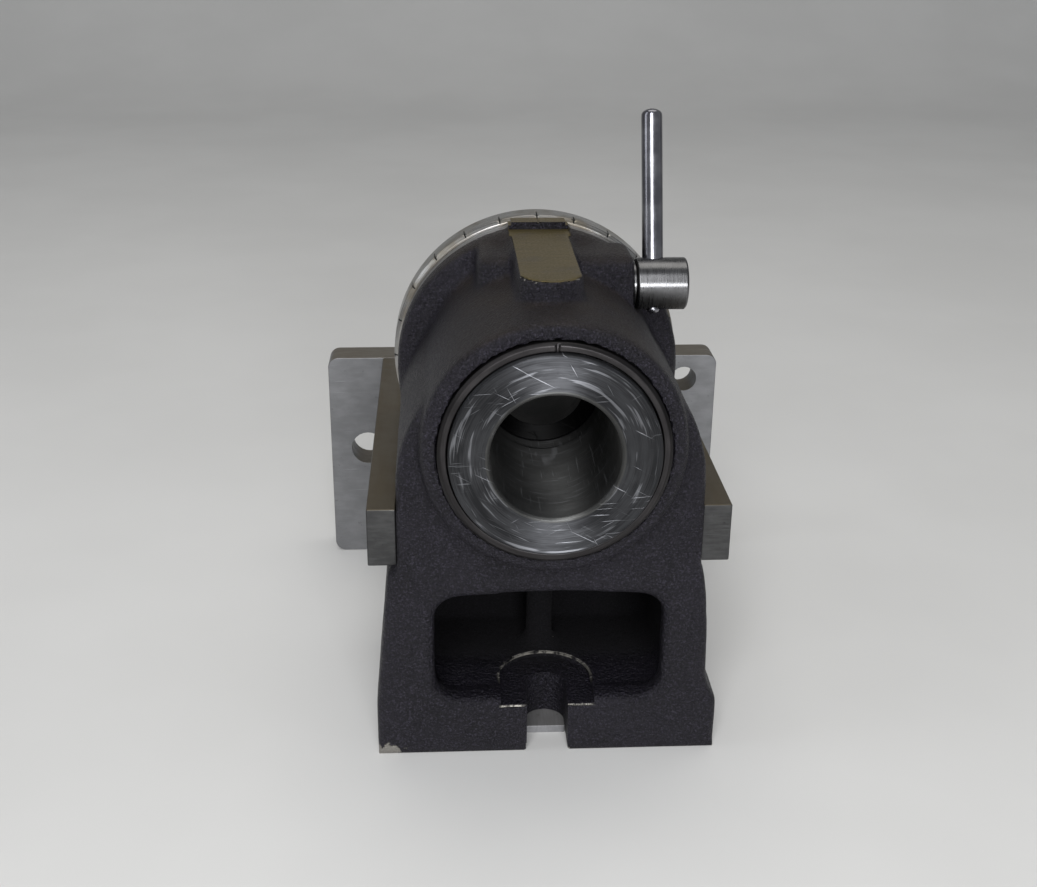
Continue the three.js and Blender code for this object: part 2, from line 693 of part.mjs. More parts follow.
const LOW_HEAD_SCREW = { ...CAP_SCREW, headHeight: CAP_SCREW.headHeight * 0.5, socketDepth: 1.4 };

function spindleGroup() {
  const group = new THREE.Group();
  group.position.z = SPINDLE_HEIGHT;
  const body = part('spindle', spindleBody(), groundSteel);
  const key = part('spindle_key', spindleKey(), darkSteel);
  const dial = part('dial', dialDisc(), dialSteel);

  const keyScrewGeometry = countersunkScrew(SMALL_SCREW, KEY_SCREW_LENGTH);
  const keyScrew = part('spindle_key_screw', keyScrewGeometry, blackOxide);
  keyScrew.rotation.x = -Math.PI / 2;
  keyScrew.position.set(0, keyScrewY, BORE_RADIUS - KEY.proud + TENON_SCREW_SINK);

  const back = DIAL_FRONT + DIAL_THICKNESS;
  const dowel = part('dial_dowel', pinAlongY(DOWEL_RADIUS, -9, 0, 0, 0, SCREW_ROUND), groundSteel);
  dowel.position.set(dowelPlace.x, back - 0.5, dowelPlace.z);
  group.add(body, key, keyScrew, dial, dowel);

  dialScrewPlaces.forEach(({ x, z }, i) => {
    const geometry = capScrew(LOW_HEAD_SCREW, DIAL_SCREW.length);
    const screw = part(`dial_screw_${i + 1}`, geometry, blackOxide);
    screw.position.set(x, back - DIAL_SCREW.sink, z);
    group.add(screw);
  });
  return group;
}

// ---------------------------------------------------------------- clamp

const HUB_START = 35.6;
const HUB_BORE_END = HUB_START + HUB_LENGTH - 1.8;
const ROD_X = 42.5;
const SPIGOT_RADIUS = 2.4;
const ROD_SEAT = 8.6;
const CAM_HALF_LENGTH = 7.6;

// The shaft along X, on the lever's own axis. The cam's throw points forward when the rod is at rest.
function clampShaft() {
  const end = HUB_BORE_END - FIT_GAP;
  const camY = -CAM_THROW * Math.cos(LEVER_TILT);
  const camZ = CAM_THROW * Math.sin(LEVER_TILT);
  const blank = join([
    pinAlongX(SHAFT_RADIUS, SHAFT_END + FIT_GAP, -CAM_HALF_LENGTH, 0, 0),
    pinAlongX(CAM_RADIUS, -CAM_HALF_LENGTH - 1, CAM_HALF_LENGTH + 1, camY, -camZ),
    pinAlongX(SHAFT_RADIUS, CAM_HALF_LENGTH, end, 0, 0),
  ]);
  const reach = 2 * SHAFT_RADIUS;
  const crossHole = pinAlongZ(SPIGOT_RADIUS + FIT_GAP, -reach, reach, ROD_X, 0, SCREW_ROUND);
  return cut(blank, [crossHole]);
}

function leverHub() {
  const chamfer = 0.6;
  const outline = [
    [0, 0],
    [HUB_RADIUS - chamfer, 0],
    [HUB_RADIUS, chamfer],
    [HUB_RADIUS, HUB_LENGTH - chamfer],
    [HUB_RADIUS - chamfer, HUB_LENGTH],
    [0, HUB_LENGTH],
  ];
  const blank = turned(outline).rotateZ(-Math.PI / 2).translate(HUB_START, 0, 0);
  const bore = pinAlongX(SHAFT_RADIUS + FIT_GAP, HUB_START - 1, HUB_BORE_END, 0, 0);
  const reach = HUB_RADIUS + OVERCUT;
  const crossHole = pinAlongZ(SPIGOT_RADIUS + FIT_GAP, -reach, reach, ROD_X, 0, SCREW_ROUND);
  const rodSeat = pinAlongZ(ROD_RADIUS + FIT_GAP, ROD_SEAT - FIT_GAP, reach, ROD_X, 0);
  return cut(blank, [bore, crossHole, rodSeat]);
}

// The rod along Z with a domed tip. Its spigot passes through hub and shaft and ends in a small dome.
function leverRod() {
  const shoulder = 2.6;
  const tailReach = HUB_RADIUS + 0.6;
  const domeRadius = 3;
  const tip = [
    [ROD_RADIUS, LEVER_REACH - shoulder],
    [ROD_RADIUS * 0.8, LEVER_REACH - shoulder * 0.5],
    [ROD_RADIUS * 0.5, LEVER_REACH - shoulder * 0.18],
    [ROD_RADIUS * 0.22, LEVER_REACH - shoulder * 0.03],
    [0, LEVER_REACH],
  ];
  const profile = [
    [0, -tailReach - 0.9],
    [SPIGOT_RADIUS * 0.45, -tailReach - 0.75],
    [SPIGOT_RADIUS * 0.8, -tailReach - 0.3],
    [SPIGOT_RADIUS, -tailReach + domeRadius * 0.2],
    [SPIGOT_RADIUS, ROD_SEAT],
    [ROD_RADIUS, ROD_SEAT],
    ...tip,
  ];
  return turned(profile, SMALL_ROUND).rotateX(Math.PI / 2).translate(ROD_X, 0, 0);
}

function leverGroup() {
  const group = new THREE.Group();
  group.position.set(0, LEVER_Y, LEVER_Z);
  group.rotation.x = -LEVER_TILT;
  const shaft = part('clamp_shaft', clampShaft(), groundSteel);
  const hub = part('lever_hub', leverHub(), hubSteel);
  const rod = part('lever_rod', leverRod(), rodSteel);

  const washerGeometry = ring(SHAFT_RADIUS + FIT_GAP, 8.6, 0, 0.9).rotateZ(-Math.PI / 2);
  const washer = part('hub_washer', washerGeometry, hubSteel);
  washer.position.x = HUB_START - FIT_GAP - 0.9;
  group.add(shaft, hub, rod, washer);
  return group;
}

// The shoe in its vertical pocket, hollowed underneath to the spindle's curve.
function clampShoe() {
  const lift = 0.8; // clear of the spindle by this much when the clamp is released
  const top = LEVER_Z - CAM_RADIUS - FIT_GAP;
  const blank = pinAlongZ(SHOE_RADIUS, SPINDLE_HEIGHT + MIDDLE_RADIUS - 4, top, 0, LEVER_Y);
  const hollow = pinAlongY(MIDDLE_RADIUS + lift, LEVER_Y - 20, LEVER_Y + 20, 0, SPINDLE_HEIGHT, LARGE_ROUND);
  return part('clamp_shoe', cut(blank, [hollow]), brass);
}

// ---------------------------------------------------------------- mounting bracket and foot keys

const PLATE_CORNER = 5;
const PLATE_SCREW_LENGTH = 16;
const PLATE_SCREW_SINK = 0.5;
const plateScrewHeights = [barHeight - 5.6, barHeight + 5.6];
const plateHoles = [
  { x: -74, z: 54.5, radius: 7.9 },
  { x: 76.2, z: 88, radius: 6 },
  { x: 76.2, z: 12, radius: 6 },
];

// side is -1 for the left bar and +1 for the right bar.
function sideBar(name, side) {
  const halfThickness = BAR_THICKNESS / 2;
  const end = PLATE_FRONT - FIT_GAP;
  const shape = roundedRectangle(-halfThickness, halfThickness, BAR_BOTTOM, BAR_TOP, 0.5);
  const blank = extrudedAlongY(shape, BAR_FRONT, end, 0.4, 2);
  const outside = side * halfThickness;
  const tools = [];
  for (const y of BAR_SCREW_Y) {
    const headDepth = CAP_SCREW.headHeight + PLATE_SCREW_SINK + FIT_GAP;
    const far = outside + side * OVERCUT;
    const floor = outside - side * headDepth;
    const [low, high] = [Math.min(far, floor), Math.max(far, floor)];
    tools.push(pinAlongX(CAP_SCREW.head + FIT_GAP, low, high, y, barHeight, SCREW_ROUND));
    const shank = CAP_SCREW.shank + FIT_GAP;
    tools.push(pinAlongX(shank, -BAR_THICKNESS, BAR_THICKNESS, y, barHeight, SCREW_ROUND));
  }
  for (const z of plateScrewHeights) {
    const start = end - PLATE_SCREW_LENGTH;
    tools.push(pinAlongY(CAP_SCREW.shank + FIT_GAP, start, end + OVERCUT, 0, z, SCREW_ROUND));
  }
  const bar = part(name, cut(blank, tools), barSteel);
  bar.position.x = side * barCentre;
  return bar;
}

function barScrews(prefix, side) {
  const length = BAR_THICKNESS - CAP_SCREW.headHeight - PLATE_SCREW_SINK + BAR_SCREW_REACH - 1;
  return BAR_SCREW_Y.map((y, i) => {
    const screw = part(`${prefix}_bar_screw_${i + 1}`, capScrew(CAP_SCREW, length), blackOxide);
    screw.rotation.z = (-side * Math.PI) / 2;
    screw.position.set(side * (barOuter - PLATE_SCREW_SINK), y, barHeight);
    return screw;
  });
}

function rearPlate() {
  const half = PLATE_WIDTH / 2;
  const back = PLATE_FRONT + PLATE_THICKNESS;
  const shape = roundedRectangle(-half, half, 0, BAR_TOP, PLATE_CORNER);
  const blank = extrudedAlongY(shape, PLATE_FRONT, back, 0.6, 6);
  const tools = plateHoles.map(({ x, z, radius }) => {
    return pinAlongY(radius, PLATE_FRONT - OVERCUT, back + OVERCUT, x, z);
  });
  const headFloor = back - PLATE_SCREW_SINK - CAP_SCREW.headHeight - FIT_GAP;
  for (const x of [-barCentre, barCentre]) {
    for (const z of plateScrewHeights) {
      tools.push(pinAlongY(CAP_SCREW.shank + FIT_GAP, PLATE_FRONT - OVERCUT, back, x, z, SCREW_ROUND));
      tools.push(pinAlongY(CAP_SCREW.head + FIT_GAP, headFloor, back + OVERCUT, x, z, SCREW_ROUND));
    }
  }
  return part('rear_plate', cut(blank, tools), plateSteel);
}

function plateScrews(prefix, side) {
  const back = PLATE_FRONT + PLATE_THICKNESS;
  const grip = PLATE_THICKNESS - PLATE_SCREW_SINK - CAP_SCREW.headHeight;
  const length = grip + PLATE_SCREW_LENGTH - 1;
  return plateScrewHeights.map((z, i) => {
    const screw = part(`${prefix}_plate_screw_${i + 1}`, capScrew(CAP_SCREW, length), blackOxide);
    screw.position.set(side * barCentre, back - PLATE_SCREW_SINK, z);
    return screw;
  });
}

function footKeys() {
  const pieces = [];
  for (const { name, start, end, screwY } of tenons) {
    const blank = block(-tenonHalfWidth, tenonHalfWidth, start, end, 0, TENON_HEIGHT);
    const hole = countersink(TENON_SCREW, TENON_SCREW_LENGTH).rotateX(-Math.PI / 2);
    hole.translate(0, screwY, TENON_SCREW_SINK);
    pieces.push(part(name, cut(blank, [hole]), tenonSteel));
    const screw = part(`${name}_screw`, countersunkScrew(TENON_SCREW, TENON_SCREW_LENGTH), blackOxide);
    screw.rotation.x = -Math.PI / 2;
    screw.position.set(0, screwY, TENON_SCREW_SINK);
    pieces.push(screw);
  }
  return pieces;
}

// ---------------------------------------------------------------- the whole table

const table = new THREE.Group();
table.name = 'rotary_table';
table.add(baseCasting(), ...bearings(), ...footKeys());
table.add(spindleGroup(), leverGroup(), clampShoe());
table.add(sideBar('left_bar', -1), sideBar('right_bar', 1), rearPlate());
table.add(...barScrews('left', -1), ...barScrews('right', 1));
table.add(...plateScrews('left', -1), ...plateScrews('right', 1));
table.position.y = -(SPINDLE_FACE + PLATE_FRONT + PLATE_THICKNESS) / 2;

export default table;
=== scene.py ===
"""The looks of the horizontal-spindle rotary table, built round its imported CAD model.

The CAD nodes are the frame. This script gives the casting a rough-cast skin, turns the round pieces
again with fine edges, eases the edges of the others, and adds materials, floor, lights and camera.
Blender works in metres. Sizes named here in millimetres are multiplied by MM where they are used.
"""

import json
import math

import bmesh
import bpy
import numpy as np
from mathutils import Matrix, Vector, noise


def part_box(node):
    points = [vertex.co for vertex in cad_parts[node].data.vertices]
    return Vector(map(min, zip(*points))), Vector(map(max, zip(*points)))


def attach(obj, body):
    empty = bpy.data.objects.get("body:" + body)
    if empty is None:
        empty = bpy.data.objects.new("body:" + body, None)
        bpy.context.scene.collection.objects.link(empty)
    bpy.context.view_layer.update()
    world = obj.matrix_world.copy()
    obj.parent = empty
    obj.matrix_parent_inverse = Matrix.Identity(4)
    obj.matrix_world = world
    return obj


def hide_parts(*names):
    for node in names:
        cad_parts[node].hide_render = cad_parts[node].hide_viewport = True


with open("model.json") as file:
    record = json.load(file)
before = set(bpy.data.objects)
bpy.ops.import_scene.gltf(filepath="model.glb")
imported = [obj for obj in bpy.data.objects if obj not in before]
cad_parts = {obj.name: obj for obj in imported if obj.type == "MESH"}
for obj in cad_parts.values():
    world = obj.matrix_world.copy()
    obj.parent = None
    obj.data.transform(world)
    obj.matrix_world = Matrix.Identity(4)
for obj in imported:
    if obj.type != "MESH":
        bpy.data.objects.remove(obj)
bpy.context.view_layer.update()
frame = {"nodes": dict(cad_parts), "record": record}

MM = 0.001

# ---------------------------------------------------------------- main places

BARREL_OVERHANG = 9  # the barrel's face stands this far in front of the foot
FOOT_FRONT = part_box("base_casting")[0].y + BARREL_OVERHANG * MM
SPINDLE_LOW, SPINDLE_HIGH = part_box("spindle")
SPINDLE_Z = (SPINDLE_LOW.z + SPINDLE_HIGH.z) / 2
HUB_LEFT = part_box("lever_hub")[0].x
PAD_TOP = 181
LAND_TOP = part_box("base_casting")[1].z / MM

LEVER_Y = 66
LEVER_Z = 165.2
LEVER_TILT = math.radians(20)  # how far the rod leans back from upright at rest


def row_y(millimetres):
    """A distance behind the foot's front face, as Y in the row frame."""
    return FOOT_FRONT + millimetres * MM


SPINDLE_AXIS = Vector((0, row_y(0), SPINDLE_Z))
LEVER_AXIS = Vector((0, row_y(LEVER_Y), LEVER_Z * MM))

record = frame["record"]
BODY_OF = {node: body for body, nodes in record["behaviour"]["bodies"].items() for node in nodes}
SLOT_OF = {part["node"]: part["material_slot"] for part in record["subparts"]}


# ---------------------------------------------------------------- mesh helpers

def new_object(name, mesh):
    obj = bpy.data.objects.new(name, mesh)
    bpy.context.scene.collection.objects.link(obj)
    return obj


def stand_for(obj, node):
    """The new piece takes the node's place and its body."""
    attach(obj, BODY_OF[node])
    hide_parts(node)
    return obj


def with_modifiers_applied(obj):
    graph = bpy.context.evaluated_depsgraph_get()
    mesh = bpy.data.meshes.new_from_object(obj.evaluated_get(graph))
    obj.modifiers.clear()
    obj.data = mesh
    return obj


def smooth_with_flat_faces(obj):
    """Smooth shading that keeps large faces flat, so only the eased edges turn the light."""
    for polygon in obj.data.polygons:
        polygon.use_smooth = True
    weighted = obj.modifiers.new("flat_faces", "WEIGHTED_NORMAL")
    weighted.weight = 100
    return obj


def eased_profile(profile, radius, steps=3):
    """A closed outline of (radius, y) points with each corner rounded."""
    rounded = []
    for i, point in enumerate(profile):
        corner = Vector(point)
        before = Vector(profile[i - 1]) - corner
        after = Vector(profile[(i + 1) % len(profile)]) - corner
        start = corner + before.normalized() * min(radius, before.length * 0.45)
        end = corner + after.normalized() * min(radius, after.length * 0.45)
        for k in range(steps + 1):
            t = k / steps
            rounded.append(start * (1 - t) ** 2 + corner * (2 * t * (1 - t)) + end * t * t)
    return rounded


def turned(name, profile, place, segments=192):
    """A closed profile in millimetres, turned about the Y axis and then put in place by a matrix."""
    mesh = bpy.data.meshes.new(name)
    points = []
    for i in range(segments):
        angle = 2 * math.pi * i / segments
        for radius, y in profile:
            points.append((radius * math.cos(angle) * MM, y * MM, radius * math.sin(angle) * MM))
    count = len(profile)
    faces = []
    for i in range(segments):
        here, there = i * count, ((i + 1) % segments) * count
        for j in range(count):
            k = (j + 1) % count
            faces.append((here + j, here + k, there + k, there + j))
    mesh.from_pydata(points, [], faces)
    bm = bmesh.new()
    bm.from_mesh(mesh)
    bmesh.ops.remove_doubles(bm, verts=bm.verts, dist=0.001 * MM)
    bmesh.ops.dissolve_degenerate(bm, edges=bm.edges, dist=0.001 * MM)
    bmesh.ops.recalc_face_normals(bm, faces=bm.faces)
    bm.to_mesh(mesh)
    bm.free()
    mesh.transform(place)
    return new_object(name, mesh)


def box_tool(low, high, turn=None):
    """A box between two corners, in millimetres from the foot's front and the table, turned if asked."""
    bm = bmesh.new()
    bmesh.ops.create_cube(bm, size=1)
    size = Vector(high) - Vector(low)
    centre = (Vector(high) + Vector(low)) / 2
    bmesh.ops.transform(bm, verts=bm.verts, matrix=Matrix.Translation(centre) @ Matrix.Diagonal((*size, 1)))
    return finished_tool(bm, turn)


def round_tool(radius, start, end, x, z, end_radius=None, segments=48, turn=None):
    """A pin along Y between two planes, in millimetres, or a cone if it has an end radius."""
    bm = bmesh.new()
    last = radius if end_radius is None else end_radius
    bmesh.ops.create_cone(bm, cap_ends=True, segments=segments, radius1=radius, radius2=last,
                          depth=end - start)
    lay = Matrix.Rotation(-math.pi / 2, 4, "X")
    place = Matrix.Translation((x, (start + end) / 2, z)) @ lay
    bmesh.ops.transform(bm, verts=bm.verts, matrix=place)
    return finished_tool(bm, turn)


def finished_tool(bm, turn):
    mesh = bpy.data.meshes.new("tool")
    bm.to_mesh(mesh)
    bm.free()
    if turn is not None:
        mesh.transform(turn)
    mesh.transform(Matrix.Translation((0, FOOT_FRONT, 0)) @ Matrix.Scale(MM, 4))
    return mesh


def cut_away(obj, tools, solver="EXACT"):
    """Cuts the tools from the object. Tools don't overlap one another."""
    bm = bmesh.new()
    for tool in tools:
        bm.from_mesh(tool)
    joined = bpy.data.meshes.new("tools")
    bm.to_mesh(joined)
    bm.free()
    cutter = new_object("tools", joined)
    boolean = obj.modifiers.new("cut", "BOOLEAN")
    boolean.operation = "DIFFERENCE"
    boolean.solver = solver
    boolean.object = cutter
    with_modifiers_applied(obj)
    bpy.data.objects.remove(cutter)
    return obj


def about_spindle(degrees):
    """A turn about the spindle's axis, for tools given in millimetres."""
    centre = Vector((0, 0, SPINDLE_Z / MM))
    turn = Matrix.Rotation(math.radians(degrees), 4, "Y")
    return Matrix.Translation(centre) @ turn @ Matrix.Translation(-centre)


# ---------------------------------------------------------------- the casting's rough skin

CAST_VOXEL = 1.25
CAST_SMOOTHING = 7
CAST_GRAIN = ((2.4, 0.06), (6, 0.10), (28, 0.25))  # size and height of each layer of unevenness

SLOT_HALF_WIDTH = 7.75
SLOT_CENTRE = 15.85  # centre of the bolt slot's round end, behind the foot's front
SPOTFACE = {"radius": 17.6, "centre": 17.85, "floor": 20.3}
WINDOW_FLOOR = 22.4
KEYWAY = {"half_width": 8.05, "top": 3.4}
TUNNEL_MOUTH = {"radius": 40.6, "end": 4.3}
BARREL_FACE = -9
FLANGE_PAINT_END = 88
FOOT_LENGTH = 88
PAD_HALF_WIDTH = 11.7
LAND_HALF_WIDTH = 10.6
LAND_FRONT = 88.3
LAND_BACK = 95.7
BAR_SEAT = {"bottom": 79.1, "top": 98.7, "half_width": 55}
ALLOWANCE = 4  # how far a cutting tool runs past the surface it starts from
SIDE_MARGIN = 0.9  # how far plugs, cuts and untouched skin reach past a machined strip
PLUG_INSET = 1.2  # how far a plug stays inside the casting's outer faces
PLUG_MARGIN = 0.6  # how far a plug overfills the cut it stands in for
FLANGE_RADIUS = 56
FLANGE_BARE_LENGTH = 6.9
CROSS_BOSS = {"radius": 10.9, "start": 33}


def arched_tool(half_width, start, centre, low, high, steps=28):
    """A slot's shape seen from above, square at the front and round at the back, as a solid."""
    outline = [(-half_width, start), (half_width, start)]
    for i in range(steps + 1):
        angle = math.pi * i / steps
        outline.append((half_width * math.cos(angle), centre + half_width * math.sin(angle)))
    bm = bmesh.new()
    base = bm.faces.new([bm.verts.new((x, y, low)) for x, y in outline])
    raised = bmesh.ops.extrude_face_region(bm, geom=[base])["geom"]
    tops = [item for item in raised if isinstance(item, bmesh.types.BMVert)]
    bmesh.ops.translate(bm, verts=tops, vec=(0, 0, high - low))
    bmesh.ops.recalc_face_normals(bm, faces=bm.faces)
    return finished_tool(bm, None)


def slot_tool():
    return arched_tool(SLOT_HALF_WIDTH, -ALLOWANCE, SLOT_CENTRE, -ALLOWANCE, WINDOW_FLOOR + ALLOWANCE)


def spotface_tool():
    return arched_tool(SPOTFACE["radius"], -ALLOWANCE, SPOTFACE["centre"], SPOTFACE["floor"],
                       WINDOW_FLOOR + ALLOWANCE)


def keyway_tool():
    half = KEYWAY["half_width"]
    return box_tool((-half, -ALLOWANCE, -ALLOWANCE), (half, FOOT_LENGTH + ALLOWANCE, KEYWAY["top"]))


def pad_pass_tool():
    """The cutter's pass over the pad, up to the land's front face."""
    return box_tool((-PAD_HALF_WIDTH, LAND_FRONT - 20, PAD_TOP), (PAD_HALF_WIDTH, LAND_FRONT, PAD_TOP + 9))


def land_top_tool():
    half = PAD_HALF_WIDTH + ALLOWANCE
    return box_tool((-half, LAND_FRONT - 1, LAND_TOP), (half, DIAL_FRONT + 1, LAND_TOP + ALLOWANCE))


def land_side_tools():
    """One cut each side of the land, and its index line."""
    far = PAD_HALF_WIDTH + SIDE_MARGIN
    flange_top = SPINDLE_Z / MM + FLANGE_RADIUS - 0.5
    tools = [box_tool((-0.3, LAND_FRONT - 1, LAND_TOP - 0.4), (0.3, DIAL_FRONT + 1, LAND_TOP + 1))]
    for near, away in ((-far, -LAND_HALF_WIDTH), (LAND_HALF_WIDTH, far)):
        tools.append(box_tool((near, LAND_FRONT, flange_top), (away, DIAL_FRONT + 1, LAND_TOP + 1)))
    return tools


def mouth_tool():
    return round_tool(TUNNEL_MOUTH["radius"], BARREL_FACE - ALLOWANCE, TUNNEL_MOUTH["end"], 0,
                      SPINDLE_Z / MM, segments=192)


def machined(p):
    """Which points of the casting, in millimetres from the foot's front, lie on a machined surface."""
    x, y, z = p[:, 0], p[:, 1], p[:, 2]
    from_spindle = np.hypot(x, z - SPINDLE_Z / MM)
    from_lever = np.hypot(y - LEVER_Y, z - LEVER_Z)
    on_pad_strip = np.abs(x) < PAD_HALF_WIDTH + SIDE_MARGIN
    return (
        (z < 0.8)
        | ((from_spindle < TUNNEL_MOUTH["radius"] + SIDE_MARGIN) & (y < FLANGE_PAINT_END + 2))
        | (y > FLANGE_PAINT_END + FLANGE_BARE_LENGTH)
        | ((y > FLANGE_PAINT_END - 0.6) & (from_spindle > FLANGE_RADIUS - 3))
        | ((z > PAD_TOP - 0.5) & on_pad_strip)
        | ((y > FLANGE_PAINT_END - 0.5) & (z > LAND_TOP - 2))
        | (within(z, BAR_SEAT["bottom"] - 1.3, BAR_SEAT["top"] + 1.3)
           & (np.abs(x) > BAR_SEAT["half_width"] - 1.5))
        | ((from_lever < CROSS_BOSS["radius"]) & (x > CROSS_BOSS["start"]))
    )


def within(values, low, high):
    return (values > low) & (values < high)


def neighbour_mean(points, edges, counts):
    total = np.zeros_like(points)
    np.add.at(total, edges[:, 0], points[edges[:, 1]])
    np.add.at(total, edges[:, 1], points[edges[:, 0]])
    return total / counts[:, None]


def unevenness(points):
    """Height of the sand-cast surface at each point, in millimetres."""
    heights = np.zeros(len(points))
    for size, height in CAST_GRAIN:
        for i, point in enumerate(points):
            heights[i] += height * noise.noise(Vector(point) / size)
    return heights


def fill_tools():
    """Plugs for the milled cuts, so that the skin runs over them until they are cut again."""
    half = SPOTFACE["radius"] + PLUG_MARGIN
    key = KEYWAY["half_width"] + PLUG_MARGIN
    land = LAND_HALF_WIDTH + SIDE_MARGIN
    return [
        arched_tool(half, PLUG_INSET, SPOTFACE["centre"], PLUG_INSET, WINDOW_FLOOR),
        box_tool((-key, PLUG_INSET, PLUG_INSET),
                 (key, FOOT_LENGTH - PLUG_INSET, KEYWAY["top"] + PLUG_MARGIN)),
        box_tool((-land, LAND_FRONT - 2, PAD_TOP - 4), (land, LAND_BACK, LAND_TOP + SIDE_MARGIN)),
    ]


def casting_skin():
    """The rough skin: even small faces, softened and roughened, with the milled cuts made afterwards."""
    bm = bmesh.new()
    bm.from_mesh(frame["nodes"]["base_casting"].data)
    for plug in fill_tools():
        bm.from_mesh(plug)
    mesh = bpy.data.meshes.new("casting_skin")
    bm.to_mesh(mesh)
    bm.free()
    skin = new_object("casting_skin", mesh)
    remesh = skin.modifiers.new("skin", "REMESH")
    remesh.mode = "VOXEL"
    remesh.voxel_size = CAST_VOXEL * MM
    with_modifiers_applied(skin)
    roughen(skin.data)
    passes = ([slot_tool(), mouth_tool(), pad_pass_tool()], [spotface_tool(), land_top_tool()],
              [keyway_tool()] + land_side_tools())
    for tools in passes:
        cut_away(skin, tools, "MANIFOLD")
    for polygon in skin.data.polygons:
        polygon.use_smooth = True
    skin.data.set_sharp_from_angle(angle=SHARP_ANGLE)
    return stand_for(skin, "base_casting")


def roughen(mesh):
    """Softens and roughens the cast faces, and stores how far each point stands out as "bulge"."""
    raw = np.zeros(len(mesh.vertices) * 3)
    mesh.vertices.foreach_get("co", raw)
    points = raw.reshape(-1, 3) / MM
    points[:, 1] -= FOOT_FRONT / MM
    edges = np.zeros(len(mesh.edges) * 2, dtype=np.int64)
    mesh.edges.foreach_get("vertices", edges)
    edges = edges.reshape(-1, 2)
    counts = np.bincount(edges.ravel(), minlength=len(points)).astype(float)
    cast = (~machined(points)).astype(float)
    blend = neighbour_mean(cast[:, None], edges, counts)[:, 0] * cast
    for _ in range(CAST_SMOOTHING):
        mean = neighbour_mean(points, edges, counts)
        points = points + 0.6 * blend[:, None] * (mean - points)
    store_points(mesh, points)
    normals = np.zeros(len(mesh.vertices) * 3)
    mesh.vertices.foreach_get("normal", normals)
    normals = normals.reshape(-1, 3)
    bulge = ((points - neighbour_mean(points, edges, counts)) * normals).sum(axis=1)
    points = points + (blend * unevenness(points))[:, None] * normals
    store_points(mesh, points)
    edge_wear = mesh.attributes.new("bulge", "FLOAT", "POINT")
    edge_wear.data.foreach_set("value", (bulge / CAST_VOXEL).astype(np.float32))


def store_points(mesh, points):
    placed = points.copy()
    placed[:, 1] += FOOT_FRONT / MM
    mesh.vertices.foreach_set("co", (placed * MM).ravel())
    mesh.update()


# ---------------------------------------------------------------- turned pieces

EDGE = 0.3  # how far the turned pieces' corners are eased, in millimetres

SPINDLE_FACE = -13.4
NOSE_RADIUS = 36.6
BORE_RADIUS = 22.5
BORE_END = 59.6
TAIL_BORE = 17
BUSH_FACE = -11.4
BUSH_RIM = 40.3
DIAL_FRONT = 96
DIAL_BACK = 108.5
DIAL_RADIUS = 57.5
DIAL_DIVISIONS = 24
GRADUATION_LENGTH = 7.5
KEY_POCKET = {"half_width": 3.1, "start": -6.7, "end": 5.9, "top": 25.8}
NOSE_DOTS = {"pitch": 4.4, "radius": 1.1, "depth": 0.6}
DIAL_SCREW_CIRCLE = 21.2
DIAL_SCREW_ANGLES = (90, 210, 330)
DIAL_SCREW = {"head_radius": 4.55, "shank_radius": 2.8, "head_floor": 105.3}
DIAL_DOWEL = {"radius": 1.9, "angle": 30}


def spindle_piece():
    profile = [
        (BORE_RADIUS + 0.8, SPINDLE_FACE), (NOSE_RADIUS - 0.6, SPINDLE_FACE),
        (NOSE_RADIUS, SPINDLE_FACE + 0.6), (NOSE_RADIUS, -4.1), (30.5, -4.1), (30.5, 22.3),
        (29, 23.8), (29, 73), (26.5, 74), (26.5, 96), (25, 96), (25, 103.2), (24.2, 104),
        (TAIL_BORE, 104), (TAIL_BORE, BORE_END), (BORE_RADIUS + 0.6, BORE_END),
        (BORE_RADIUS + 0.6, BORE_END - 10), (BORE_RADIUS, BORE_END - 10.6),
        (BORE_RADIUS, SPINDLE_FACE + 0.8),
    ]
    piece = turned("spindle_turned", eased_profile(profile, EDGE), Matrix.Translation(SPINDLE_AXIS))
    centre = SPINDLE_Z / MM
    pocket = KEY_POCKET
    tools = [box_tool((-pocket["half_width"], pocket["start"], centre + BORE_RADIUS - 3),
                      (pocket["half_width"], pocket["end"], centre + pocket["top"]))]
    dots = NOSE_DOTS
    height = centre + (BORE_RADIUS + NOSE_RADIUS) / 2
    for step in (-1, 0, 1):
        front, back = SPINDLE_FACE - dots["depth"], SPINDLE_FACE + dots["depth"]
        tools.append(round_tool(dots["radius"] * 2, front, back, step * dots["pitch"], height,
                                end_radius=0))
    cut_away(piece, tools)
    return stand_for(smooth_with_flat_faces(piece), "spindle")


def front_bush_piece():
    profile = [
        (30.8, -3.7), (36.9, -3.7), (36.9, -11), (37.3, BUSH_FACE), (39.2, BUSH_FACE),
        (BUSH_RIM, -10.3), (BUSH_RIM, 4), (36, 4), (36, 22), (30.8, 22),
    ]
    piece = turned("front_bush_turned", eased_profile(profile, EDGE), Matrix.Translation(SPINDLE_AXIS))
    middle = SPINDLE_Z / MM + (36.9 + BUSH_RIM) / 2
    witness_mark = box_tool((-0.4, BUSH_FACE - 1, middle - 4), (0.4, BUSH_FACE + 0.5, middle + 4))
    cut_away(piece, [witness_mark])
    return stand_for(smooth_with_flat_faces(piece), "front_bush")


